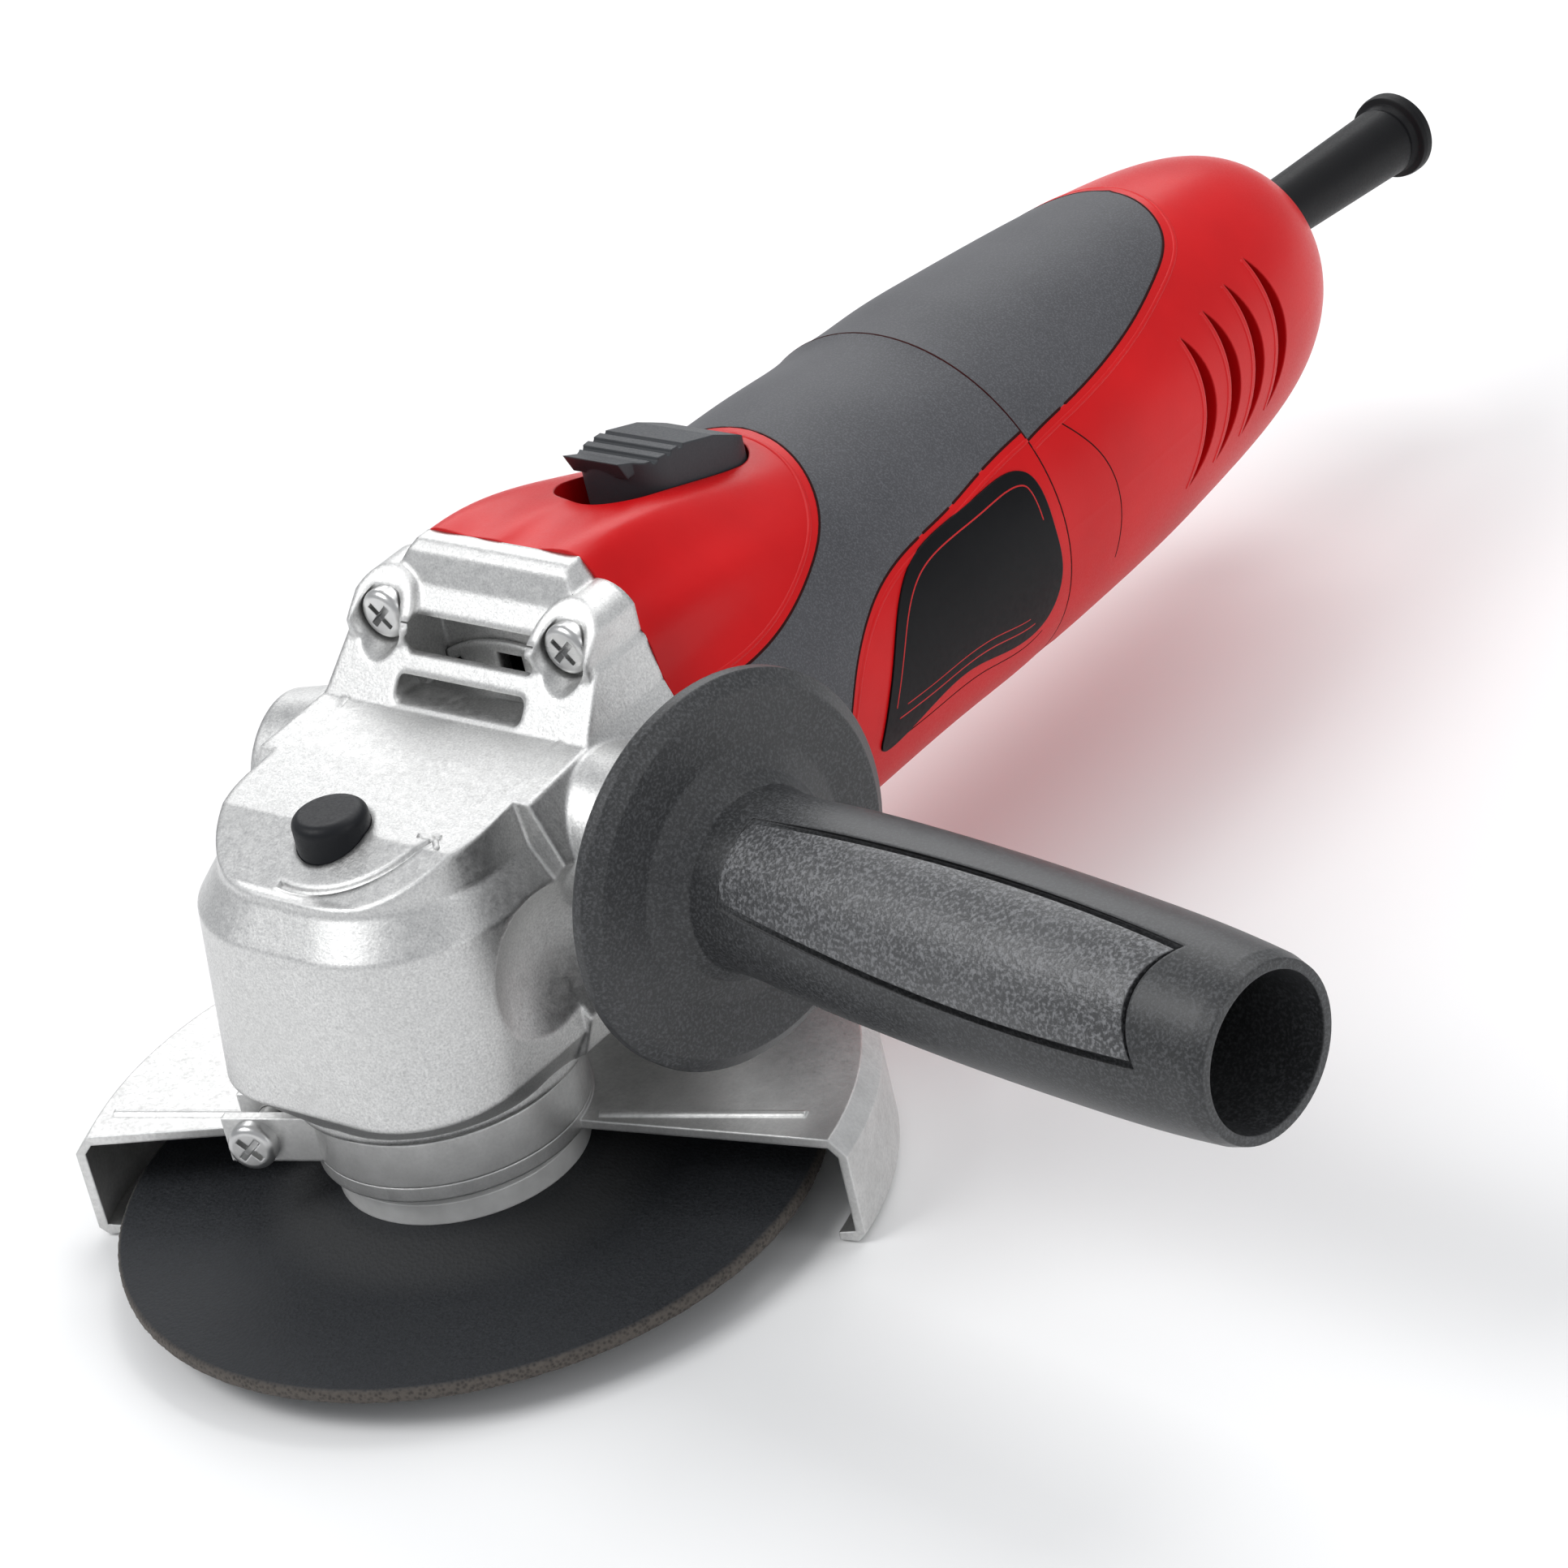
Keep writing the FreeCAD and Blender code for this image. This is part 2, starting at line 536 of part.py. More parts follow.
for index in range(6):
    angle = math.radians(60 * index + 30)
    nut_x = GUARD_SCREW_X + 4.0 * math.cos(angle)
    nut_z = GUARD_SCREW_Z + 4.0 * math.sin(angle)
    nut_outline.append(v(nut_x, BAND_GAP_HIGH + 1.8, nut_z))
nut_outline.append(nut_outline[0])
guard_nut = Part.Face(Part.makePolygon(nut_outline)).extrude(v(0, 3.0, 0))
guard_nut = guard_nut.cut(cylinder(2.0, 6.0, v(GUARD_SCREW_X, BAND_GAP_HIGH, GUARD_SCREW_Z), Y_AXIS))
save("guard_nut", turn(guard_nut, GUARD_TURN_DEG))

# ---------------------------------------------------------------- spindle lock

button = cylinder(6.0, 7.2, v(0, LOCK_Y, 66.8))
rim = [edge for edge in button.Edges if abs(edge.CenterOfMass.z - 74.0) < 1e-6]
button = button.makeFillet(1.6, rim[:1])
button = button.cut(cylinder(1.6, 4.2, v(0, LOCK_Y, 66.8)))
save("lock_button", button)
save("lock_pin", cylinder(1.6, 9.4, v(0, LOCK_Y, 61.6)).fuse(cylinder(1.95, 13.0, v(0, LOCK_Y, 48.6))))
save("lock_spring", coil_spring(v(0, LOCK_Y, 62.5)))

# ---------------------------------------------------------------- motor housing and grips

PATCH_EDGE = [(41.0, 69.0), (53.0, 67.6), (66.0, 68.2), (80.0, 71.9), (92.0, 77.4), (101.0, 84.5)]
PANEL_EDGE = [
    (135.0, 67.0), (122.0, 66.4), (111.0, 65.4), (98.0, 64.8), (87.0, 62.4), (79.0, 57.4), (73.5, 50.0),
    (70.5, 40.0), (69.5, 28.0), (70.0, 12.0),
]
REAR_GRIP_EDGE = [(135.0, 65.4), (153.0, 66.0), (171.0, 67.2), (186.0, 69.2), (197.0, 71.6), (205.0, 76.0)]
LABEL_OUTLINE = [
    (80.5, 40.0), (83.0, 47.0), (86.5, 53.5), (91.5, 59.5), (98.0, 63.2), (106.0, 64.3), (118.0, 64.2),
    (131.0, 61.6), (131.8, 52.0), (131.8, 43.0), (128.5, 36.4), (112.0, 37.4), (96.0, 38.8),
]


def side_region(edges_in_order, reach=45.0):
    # solid along X whose side view is bounded by smooth curves (long lists) and straight runs (pairs)
    edges = []
    for points in edges_in_order:
        vectors = [v(-reach, y, z) for y, z in points]
        if len(points) == 2:
            edges.append(Part.makeLine(vectors[0], vectors[1]))
        else:
            curve = Part.BSplineCurve()
            curve.interpolate(vectors)
            edges.append(curve.toShape())
    return Part.Face(Part.Wire(edges)).extrude(v(2 * reach, 0, 0))


grip_region = side_region([
    PATCH_EDGE, [(101.0, 84.5), (101.0, 96.0)], [(101.0, 96.0),
    (SEAM_Y, 96.0)], [(SEAM_Y, 96.0), (SEAM_Y, 67.0)],
    PANEL_EDGE, [(70.0, 12.0), (41.0, 12.0)], [(41.0, 12.0), (41.0, 69.0)],
])
front_solid = front_body()
front_layer = front_solid.cut(front_body(GRIP_LAYER))
front_grip = front_layer.common(grip_region)
motor_shell = front_solid.cut(front_body(SHELL_WALL))

# sunk track for the switch slider, its floor sloping down towards the cord
SLIDER_FRONT_Y = 64.6
SLIDER_REAR_Y = 95.0
SLIDER_HALF_WIDTH = 8.0
SWITCH_TRAVEL = 6.0
TRACK_SLOPE = 7.0 / 50.0


def track_floor(y):
    return 84.6 - TRACK_SLOPE * (y - 50.0)


def stadium(y0, y1, half_width, z0, z1):
    first = cylinder(half_width, z1 - z0, v(0, y0 + half_width, z0))
    last = cylinder(half_width, z1 - z0, v(0, y1 - half_width, z0))
    middle = block(-half_width, half_width, y0 + half_width, y1 - half_width, z0, z1)
    return fuse([first, last, middle])


def above_floor(drop):
    front = track_floor(40) - drop
    rear = track_floor(110) - drop
    return prism_yz([(40, front), (110, rear), (110, 110), (40, 110)], -20, 20)


track_front = SLIDER_FRONT_Y - SWITCH_TRAVEL - 1.0
track = stadium(track_front, SLIDER_REAR_Y + 0.5, SLIDER_HALF_WIDTH + 0.5, 60.0, 110.0)
track_pan = stadium(track_front - 1.8, SLIDER_REAR_Y + 2.3, SLIDER_HALF_WIDTH + 2.3, 60.0, 110.0)
track_pan = track_pan.common(front_body(0.2)).common(above_floor(1.6))
motor_shell = motor_shell.fuse(track_pan).cut(track.common(above_floor(0.0)))
motor_shell = motor_shell.cut(block(-3.0, 3.0, 70.5, 88.5, 70.0, 90.0))
motor_shell = motor_shell.cut(block(-3.0, 3.0, 88.0, 100.0, 70.0, 77.6))
motor_shell = motor_shell.cut(front_grip)

# front bulkhead with screw bosses, ribs that hold the stator, seam lip
bulkhead = body_section((JOINT_Y, 51.6, 34.3), 1.5)
bulkhead = Part.Face(bulkhead).extrude(v(0, 3.0, 0))
bulkhead = bulkhead.cut(cylinder(26.4, 3.0, v(0, JOINT_Y, MOTOR_Z), Y_AXIS))
additions = [bulkhead]
for x, z, seat_y in SCREW_SPOTS:
    boss = cylinder(4.4, 16.0, v(x, JOINT_Y, z), Y_AXIS)
    boss = boss.cut(cylinder(29.9, 20.0, v(0, JOINT_Y, MOTOR_Z), Y_AXIS))
    additions.append(boss.common(front_body(1.4)))
for y in (66.0, 104.0):
    web = cylinder(31.5, 3.0, v(0, y, MOTOR_Z), Y_AXIS).common(front_body(1.5))
    web = web.cut(cylinder(STATOR_RADIUS, 3.0, v(0, y, MOTOR_Z), Y_AXIS))
    air_ways = [block(-20, 20, y - 1, y + 4, 68, 90), block(-20, 20, y - 1, y + 4, 10, 30)]
    additions.append(cut(web, air_ways))
motor_shell = motor_shell.multiFuse(additions)
for x, z, seat_y in SCREW_SPOTS:
    motor_shell = motor_shell.cut(cylinder(1.75, 14.0, v(x, JOINT_Y - 0.5, z), Y_AXIS))
lip = tube(29.5, 28.3, 8.4, v(0, SEAM_Y - 3.0, 48.8), Y_AXIS)
lip_root = tube(30.4, 28.3, 3.0, v(0, SEAM_Y - 3.0, 48.8), Y_AXIS)
motor_shell = motor_shell.fuse(lip).fuse(lip_root)
save("front_grip", front_grip)

# side labels lie in shallow pockets of their own thickness
label_points = [v(0, y, z) for y, z in LABEL_OUTLINE]
label_curve = Part.BSplineCurve()
label_curve.interpolate(Points=label_points, PeriodicFlag=True)
label_face = Part.Face(Part.Wire(label_curve.toShape()))
labels = []
for side in (1, -1):
    reach = label_face.extrude(v(side * 45.0, 0, 0))
    labels.append(front_body(-0.35).cut(front_solid).common(reach))
save("side_labels", group(labels))

# ---------------------------------------------------------------- rear housing

rear_solid = rear_body()
rear_shell = rear_solid.cut(rear_body(SHELL_WALL))
rear_shell = rear_shell.fuse(rear_solid.common(block(-20, 20, BODY_END_Y - 5.8, BODY_END_Y, 30, 66)))
rear_grip_region = side_region([
    REAR_GRIP_EDGE, [(205.0, 76.0), (205.0, 95.0)], [(205.0, 95.0),
    (SEAM_Y, 95.0)], [(SEAM_Y, 95.0), (SEAM_Y, 65.4)],
])
rear_grip = rear_solid.cut(rear_body(GRIP_LAYER)).common(rear_grip_region)
rear_shell = rear_shell.cut(rear_grip)
for index in range(4):
    top_y = 180.7 + 9.0 * index
    low_y = 172.9 + 9.5 * index
    top = (top_y, 61.0 + 0.4 * index)
    low = (low_y, 36.6)
    front_arc = Part.Arc(v(-45, *top), v(-45, top_y - 0.4, 49.0), v(-45, *low)).toShape()
    rear_arc = Part.Arc(v(-45, *low), v(-45, top_y + 3.1, 49.6), v(-45, *top)).toShape()
    crescent = Part.Face(Part.Wire([front_arc, rear_arc])).extrude(v(90, 0, 0))
    rear_shell = rear_shell.cut(crescent)
# two short screws from below pin the rear housing to the seam lip
seam_centre = v(0, SEAM_Y + 3.3, 48.8)
seam_screws = []
for degrees in (142.0, -142.0):
    outward = v(math.sin(math.radians(degrees)), 0, math.cos(math.radians(degrees)))
    rear_shell = rear_shell.cut(cylinder(2.7, 6.0, seam_centre + outward * 31.4, outward))
    rear_shell = rear_shell.cut(cylinder(1.3, 8.0, seam_centre + outward * 26.0, outward))
    lip_hole = cylinder(1.3, 8.0, seam_centre + outward * 26.0, outward)
    motor_shell = motor_shell.cut(lip_hole)
    seam_screws.append(cross_screw(2.6, 1.1, 1.3, 5.4, seam_centre + outward * 31.4, -outward))

sleeve_axis = v(0, math.cos(math.radians(SLEEVE_DROP_DEG)), -math.sin(math.radians(SLEEVE_DROP_DEG)))
sleeve_start = v(0, BODY_END_Y - 10.0, 48.9)
rear_shell = rear_shell.cut(cylinder(5.6, 20.0, sleeve_start - sleeve_axis * 2, sleeve_axis))
rear_shell = rear_shell.cut(cylinder(7.6, 4.1, sleeve_start, sleeve_axis))
save("motor_housing", motor_shell)
save("rear_housing", rear_shell)
save("rear_grip", rear_grip)
save("rear_housing_screws", group(seam_screws))


def along_sleeve(profile):
    # lathe round the drooping sleeve axis
    straight = lathe(profile, ORIGIN, Y_AXIS)
    straight.rotate(ORIGIN, X_AXIS, -SLEEVE_DROP_DEG)
    straight.translate(sleeve_start)
    return straight


save("cord_sleeve", along_sleeve([
    (CORD_RADIUS, 0.0), (7.4, 0.0), (7.4, 4.0), (5.5, 4.0), (5.5, 10.0),
    (6.5, 53.0), (6.2, 54.0), (6.7, 55.2),
    (7.8, 55.6), (8.0, 56.6), (8.0, 58.0), (7.4, 58.8), (5.0, 59.0), (CORD_RADIUS, 57.6),
]))

# cord clamp bar on two pillars inside the rear housing
CLAMP_Y = 222.0
clamp_z = sleeve_start.z + 0.9
clamp_base = block(-10.5, 10.5, CLAMP_Y - 4.0, CLAMP_Y + 4.0, clamp_z - 9.0, clamp_z)
clamp_bar = block(-10.5, 10.5, CLAMP_Y - 4.0, CLAMP_Y + 4.0, clamp_z + 0.6, clamp_z + 6.2)
cord_way = cylinder(CORD_RADIUS, 12.0, v(0, CLAMP_Y - 6.0, clamp_z + 0.3), Y_AXIS)
clamp_holes = [cylinder(1.5, 30.0, v(side * 7.8, CLAMP_Y, clamp_z - 10.0)) for side in (1, -1)]
clamp_halves = [cut(half, [cord_way] + clamp_holes) for half in (clamp_base, clamp_bar)]
save("cord_clamp", group(clamp_halves))
clamp_screws = []
for side in (1, -1):
    seat = v(side * 7.8, CLAMP_Y, clamp_z + 6.2)
    clamp_screws.append(cross_screw(2.8, 2.0, 1.45, 14.0, seat, Z_AXIS * -1))
save("cord_clamp_screws", group(clamp_screws))

# ---------------------------------------------------------------- motor

motor_centre = v(0, 0, MOTOR_Z)


def at_y(y):
    return v(0, y, MOTOR_Z)


plate = lathe([
    (13.0, 27.0), (13.0, 35.0), (11.0, 35.0), (11.0, 37.6), (16.0, 38.6),
    (16.0, 38.7), (28.0, 38.7), (28.0, 36.2),
    (16.0, 36.2), (16.0, 24.2), (9.0, 24.2), (9.0, 27.0),
], motor_centre, Y_AXIS)
vent = block(-2.6, 2.6, 30.0, 45.0, MOTOR_Z + 18.5, MOTOR_Z + 26.0)
plate = cut(plate, polar(vent, 12, motor_centre, Y_AXIS))
save("bearing_plate", plate)
outer, inner = bearing(13.0, SHAFT_RADIUS, 8.0, at_y(31.0), Y_AXIS, 8)
save("front_bearing_outer", outer)
save("front_bearing_inner", inner)

shaft = lathe([
    (0, 8.0), (1.6, 8.0), (1.95, 8.4), (1.95, 22.3), (SHAFT_RADIUS, 22.3),
    (SHAFT_RADIUS, 158.0), (4.0, 160.0),
    (4.0, 171.4), (3.6, 172.0), (0, 172.0),
], motor_centre, Y_AXIS)
save("armature_shaft", shaft)

core = cylinder(CORE_RADIUS, 46.0, at_y(62.0), Y_AXIS)
core_slots = []
for index in range(12):
    channel = block(-1.9, 1.9, 61.0, 109.0, MOTOR_Z + 8.0, MOTOR_Z + 13.0)
    mouth = block(-0.8, 0.8, 61.0, 109.0, MOTOR_Z + 12.5, MOTOR_Z + 15.0)
    core_slots.append(turn(channel.fuse(mouth), 30.0 * index, motor_centre, Y_AXIS))
core = cut(core, core_slots).cut(cylinder(SHAFT_RADIUS, 50.0, at_y(60.0), Y_AXIS))
save("armature_core", core)
windings = []
for index in range(12):
    bundle = block(-1.8, 1.8, 60.0, 110.0, MOTOR_Z + 8.1, MOTOR_Z + 12.4)
    windings.append(turn(bundle, 30.0 * index, motor_centre, Y_AXIS))
end_turns = []
for y0, y1 in ((57.0, 61.9), (108.1, 118.0)):
    end_turns.append(tube(13.2, SHAFT_RADIUS + 0.6, y1 - y0, at_y(y0), Y_AXIS))
save("armature_windings", fuse(end_turns + windings))

commutator = tube(COMMUTATOR_RADIUS, SHAFT_RADIUS, 16.0, at_y(141.0), Y_AXIS)
commutator = commutator.fuse(tube(12.4, SHAFT_RADIUS, 2.4, at_y(138.6), Y_AXIS))
bar_gap = block(-0.25, 0.25, 137.0, 158.0, MOTOR_Z + COMMUTATOR_RADIUS - 0.8, MOTOR_Z + 13.0)
commutator = cut(commutator, polar(bar_gap, 24, motor_centre, Y_AXIS))
save("commutator", commutator)

FAN_Y = 44.0
fan = lathe([
    (SHAFT_RADIUS, FAN_Y), (8.0, FAN_Y), (8.0, FAN_Y + 7.0), (24.6, FAN_Y + 8.6), (24.6, FAN_Y + 10.2),
    (SHAFT_RADIUS, FAN_Y + 10.2),
], motor_centre, Y_AXIS)
blade = block(-0.7, 0.7, FAN_Y + 1.0, FAN_Y + 9.0, MOTOR_Z + 12.0, MOTOR_Z + 24.4)
blade = turn(blade, 28.0, v(0, FAN_Y, MOTOR_Z + 12.0), Y_AXIS)
fan = fan.multiFuse(polar(blade, 14, motor_centre, Y_AXIS))
save("fan", fan)

baffle = lathe([
    (17.0, 55.6), (25.9, 55.6), (28.6, 47.0), (29.6, 47.0), (27.2, 57.2), (17.0, 57.2),
], motor_centre, Y_AXIS)
save("air_baffle", baffle)

stator = tube(STATOR_RADIUS, CORE_RADIUS + 0.6, 44.0, at_y(63.0), Y_AXIS)
for low, high in ((24.0, 30.0), (-30.0, -24.0)):
    stator = stator.cut(block(-30, 30, 60, 110, MOTOR_Z + low, MOTOR_Z + high))
pole_pocket = tube(20.6, CORE_RADIUS + 0.6, 46.0, at_y(62.0), Y_AXIS)
pole_keep = block(-11.0, 11.0, 60, 110, MOTOR_Z - 26, MOTOR_Z + 26)
stator = stator.cut(pole_pocket.cut(pole_keep))
stator_screw_spots = [(side * 20.0, MOTOR_Z + level * 11.5) for side in (1, -1) for level in (1, -1)]
for x, z in stator_screw_spots[:1] + stator_screw_spots[3:]:
    stator = stator.cut(cylinder(1.6, 50.0, v(x, 60.0, z), Y_AXIS))
save("stator_core", stator)
coils = []
for side in (1, -1):
    coil = tube(20.2, CORE_RADIUS + 1.4, 56.0, at_y(58.5), Y_AXIS)
    coil = coil.common(block(min(side * 11.4, side * 24), max(side * 11.4, side * 24), 58, 115, 30, 70))
    coils.append(coil)
for y0, y1 in ((58.5, 62.6), (107.4, 114.5)):
    ends = tube(20.2, CORE_RADIUS + 1.4, y1 - y0, at_y(y0), Y_AXIS)
    coils.append(ends)
save("field_coils", fuse(coils))
stator_screws = []
for x, z in stator_screw_spots[:1] + stator_screw_spots[3:]:
    stator_screws.append(cross_screw(2.8, 2.0, 1.55, 38.0, v(x, 107.0, z), Y_AXIS * -1))
save("stator_screws", group(stator_screws))

# brush frame: plate behind the seam, two arms, cup for the rear bearing
frame_plate = tube(26.9, 15.5, 3.0, at_y(132.0), Y_AXIS)
cup = tube(14.0, 11.05, 8.6, at_y(163.4), Y_AXIS).fuse(tube(14.0, 5.0, 2.0, at_y(172.0), Y_AXIS))
arms = []
for x0, x1 in ((-17.5, -13.0), (13.0, 17.5)):
    arms.append(block(x0, x1, 134.0, 174.0, MOTOR_Z - 4.5, MOTOR_Z + 4.5))
frame_plate = frame_plate.cut(block(-3.0, 3.0, 130, 137, MOTOR_Z + 23.8, MOTOR_Z + 32.0))
brush_frame = fuse([frame_plate, cup] + arms)
for low, high in ((13.4, 23.6), (-23.6, -13.4)):
    ledge = block(-9.0, -6.7, 134.5, 153.0, MOTOR_Z + low, MOTOR_Z + high)
    brush_frame = brush_frame.fuse(ledge)
brush_frame = brush_frame.cut(cylinder(11.05, 8.6, at_y(163.4), Y_AXIS))
save("brush_frame", brush_frame)
outer, inner = bearing(11.0, 4.0, 7.0, at_y(167.0), Y_AXIS, 7)
save("rear_bearing_outer", outer)
save("rear_bearing_inner", inner)

# the two brushes stand above and below the commutator, each pressed on by a coil spring
holders = []
for name, degrees in (("top", 0.0), ("bottom", 180.0)):
    shell = block(-6.6, 4.6, BRUSH_Y - 4.6, BRUSH_Y + 4.6, MOTOR_Z + 12.6, MOTOR_Z + 24.2)
    shell = shell.cut(block(-3.3, 3.3, BRUSH_Y - 3.3, BRUSH_Y + 3.3, MOTOR_Z + 12.0, MOTOR_Z + 23.6))
    brush = block(-3.2, 3.2, BRUSH_Y - 3.2, BRUSH_Y + 3.2, MOTOR_Z + 9.0, MOTOR_Z + 18.5)
    brush = brush.cut(cylinder(COMMUTATOR_RADIUS + 0.02, 20.0, at_y(138.0), Y_AXIS))
    spring = coil_spring(v(0, BRUSH_Y, MOTOR_Z + 18.9))
    holders.append(turn(shell, degrees, motor_centre, Y_AXIS))
    save("carbon_brush_" + name, turn(brush, degrees, motor_centre, Y_AXIS))
    save("brush_spring_" + name, turn(spring, degrees, motor_centre, Y_AXIS))
save("brush_holders", group(holders))

# ---------------------------------------------------------------- switch

slider = stadium(SLIDER_FRONT_Y, SLIDER_REAR_Y, SLIDER_HALF_WIDTH, 70.0, 110.0)
slider_side = prism_yz([
    (60.0, track_floor(60.0) + 0.3), (60.0, 95.9), (63.4, 95.9),
    (65.4, 94.9), (68.4, 93.6), (76.0, 93.2),
    (84.0, 90.6), (90.0, 87.4), (96.0, 83.4), (96.0, track_floor(96.0) + 0.3),
], -12, 12)
slider = slider.common(slider_side)
hook = prism_yz([(SLIDER_FRONT_Y - 1.0, 95.7), (SLIDER_FRONT_Y + 3.4, 93.8), (SLIDER_FRONT_Y + 3.4, 92.2),
                 (SLIDER_FRONT_Y + 0.6, 92.2)], -5.6, 5.6)
slider = slider.fuse(hook)
for index in range(4):
    groove_y = 70.0 + 3.0 * index
    groove_z = 93.5 - 0.053 * (groove_y - 68.4)
    slider = slider.cut(cylinder(0.7, 30.0, v(-15.0, groove_y, groove_z + 0.1), X_AXIS))
save("switch_slider", slider)
ROD_HALF = 1.8
rod = prism_yz([
    (80.0, track_floor(80.0) + 0.3), (80.0, 74.5), (158.0, 74.5),
    (176.0, 65.6), (181.0, 65.6), (181.0, 67.6),
    (176.8, 67.6), (158.8, 76.2), (84.6, 76.2), (84.6, track_floor(84.6) + 0.3),
], -ROD_HALF, ROD_HALF)
save("switch_rod", rod)

switch_block = block(-8.5, 8.5, 187.6, 206.0, 54.0, 67.0)
switch_block = switch_block.fuse(block(-3.0, 3.0, 187.2, 190.0, 64.0, 68.0))
for x in (-5.0, 0.0, 5.0):
    switch_block = switch_block.fuse(block(x - 1.2, x + 1.2, 196.0, 206.0, 49.0, 54.0))
save("switch_block", switch_block)
save("capacitor", block(-9.0, 9.0, 184.0, 206.0, 30.0, 40.0))

# ---------------------------------------------------------------- side handle


def on_handle(shape):
    # drawn round +Z from the tool centreline, then laid along the swept handle axis
    placed = shape.copy()
    placed.rotate(ORIGIN, Y_AXIS, 90)
    placed.rotate(ORIGIN, Z_AXIS, -HANDLE_SWEEP_DEG)
    placed.translate(handle_origin)
    return placed


GRIP_PROFILE = [
    (60.5, 14.4), (64.0, 14.1), (76.0, 14.7), (90.0, 15.3), (110.0, 15.6),
    (130.0, 15.4), (146.0, 14.9), (157.5, 14.0),
]
grip_curve = Part.BSplineCurve()
grip_curve.interpolate([v(radius, 0, s) for s, radius in GRIP_PROFILE])
outline = [
    (14.4, 60.5), (16.2, 58.6), (20.0, 57.4), (28.6, 57.2),
    (HANDLE_GUARD_RADIUS, 55.4), (HANDLE_GUARD_RADIUS, 53.6),
    (30.2, 52.6), (18.0, 52.6), (14.0, 50.0), (13.0, HANDLE_BOSS_S + 0.1), (8.0, HANDLE_BOSS_S + 0.1),
    (8.0, 44.1), (6.5, 44.1), (6.5, 62.0), (11.8, 68.0),
    (11.8, HANDLE_END_S), (13.3, HANDLE_END_S), (14.0, 157.5),
]
handle_edges = [grip_curve.toShape()]
vectors = [v(r, 0, s) for r, s in outline]
for start, end in zip(vectors, vectors[1:]):
    handle_edges.append(Part.makeLine(start, end))
handle_profile = Part.Face(Part.Wire(Part.__sortEdges__(handle_edges)))
handle_solid = handle_profile.revolve(ORIGIN, Z_AXIS, 360)

# textured pads let into two opposite sides of the grip
PAD_TURN_DEG = -48.0
pad_ring = tube(17.0, 13.9, 84.0, v(0, 0, 66.0))
pad_window = []
groove_window = []
for margin, target in ((0.0, pad_window), (0.9, groove_window)):
    half_low = 6.2 + margin
    half_mid = 9.4 + margin
    half_high = 8.2 + margin
    low = 67.0 - margin
    high = 148.0 + margin
    sides = []
    for sign in (1, -1):
        curve = Part.BSplineCurve()
        ends = [(low, half_low), (low + 30.0, half_mid - 0.6), (low + 52.0, half_mid), (high, half_high)]
        curve.interpolate([v(s_half[1] * sign, 0, s_half[0]) for s_half in ends])
        sides.append(curve.toShape())
    near = Part.Arc(v(half_low, 0, low), v(0, 0, low - 1.6), v(-half_low, 0, low)).toShape()
    far = Part.Arc(v(half_high, 0, high), v(0, 0, high - 2.6), v(-half_high, 0, high)).toShape()
    window = Part.Face(Part.Wire(Part.__sortEdges__(sides + [near, far])))
    target.append(window.extrude(v(0, 20, 0)))
    target.append(window.extrude(v(0, -20, 0)))
pad_skin = handle_solid.common(pad_ring)
pads = []
for window in pad_window:
    pads.append(pad_skin.common(window))
handle_solid = handle_solid.cut(pad_ring.common(groove_window[0])).cut(pad_ring.common(groove_window[1]))
save("side_handle", on_handle(turn(handle_solid, PAD_TURN_DEG)))
save("handle_pads", on_handle(turn(group(pads), PAD_TURN_DEG)))

stud = lathe([
    (0, HANDLE_BOSS_S - 11.5), (3.3, HANDLE_BOSS_S - 11.5),
    (STUD_RADIUS, HANDLE_BOSS_S - 10.6), (STUD_RADIUS, 39.9),
    (7.9, 40.0), (7.9, 44.0), (6.4, 44.0), (6.4, 58.0), (0, 58.0),
])
save("handle_stud", on_handle(stud))
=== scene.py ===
import json
import math

import bmesh
import bpy
import numpy
from mathutils import Matrix, Vector, noise
from mathutils.bvhtree import BVHTree


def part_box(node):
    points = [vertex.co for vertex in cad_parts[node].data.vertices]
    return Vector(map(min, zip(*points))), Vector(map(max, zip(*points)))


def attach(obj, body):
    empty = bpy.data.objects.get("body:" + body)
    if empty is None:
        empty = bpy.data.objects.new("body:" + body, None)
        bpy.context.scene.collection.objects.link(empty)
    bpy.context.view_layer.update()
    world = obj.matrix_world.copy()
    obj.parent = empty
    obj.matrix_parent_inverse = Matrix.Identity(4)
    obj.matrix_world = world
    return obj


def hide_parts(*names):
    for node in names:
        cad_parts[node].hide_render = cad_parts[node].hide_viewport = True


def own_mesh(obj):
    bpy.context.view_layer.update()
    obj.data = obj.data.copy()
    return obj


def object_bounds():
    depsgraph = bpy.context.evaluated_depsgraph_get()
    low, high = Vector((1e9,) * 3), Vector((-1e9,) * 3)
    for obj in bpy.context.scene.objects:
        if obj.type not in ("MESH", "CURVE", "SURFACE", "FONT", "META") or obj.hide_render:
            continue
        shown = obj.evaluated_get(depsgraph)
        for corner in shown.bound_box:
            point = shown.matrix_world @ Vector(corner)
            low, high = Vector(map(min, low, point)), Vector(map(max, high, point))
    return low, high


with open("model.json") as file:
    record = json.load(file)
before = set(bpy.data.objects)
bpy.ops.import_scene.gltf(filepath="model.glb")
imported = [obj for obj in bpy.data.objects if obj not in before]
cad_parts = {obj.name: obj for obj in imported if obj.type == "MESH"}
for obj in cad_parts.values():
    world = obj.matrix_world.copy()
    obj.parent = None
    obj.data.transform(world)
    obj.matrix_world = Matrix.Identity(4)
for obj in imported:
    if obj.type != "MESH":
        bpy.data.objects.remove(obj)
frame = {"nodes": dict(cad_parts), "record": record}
cad_low, cad_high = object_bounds()
nodes = frame["nodes"]
scene = bpy.context.scene
scene.view_settings.view_transform = "Standard"
MM = 0.001


# ---------------------------------------------------------------- camera and light

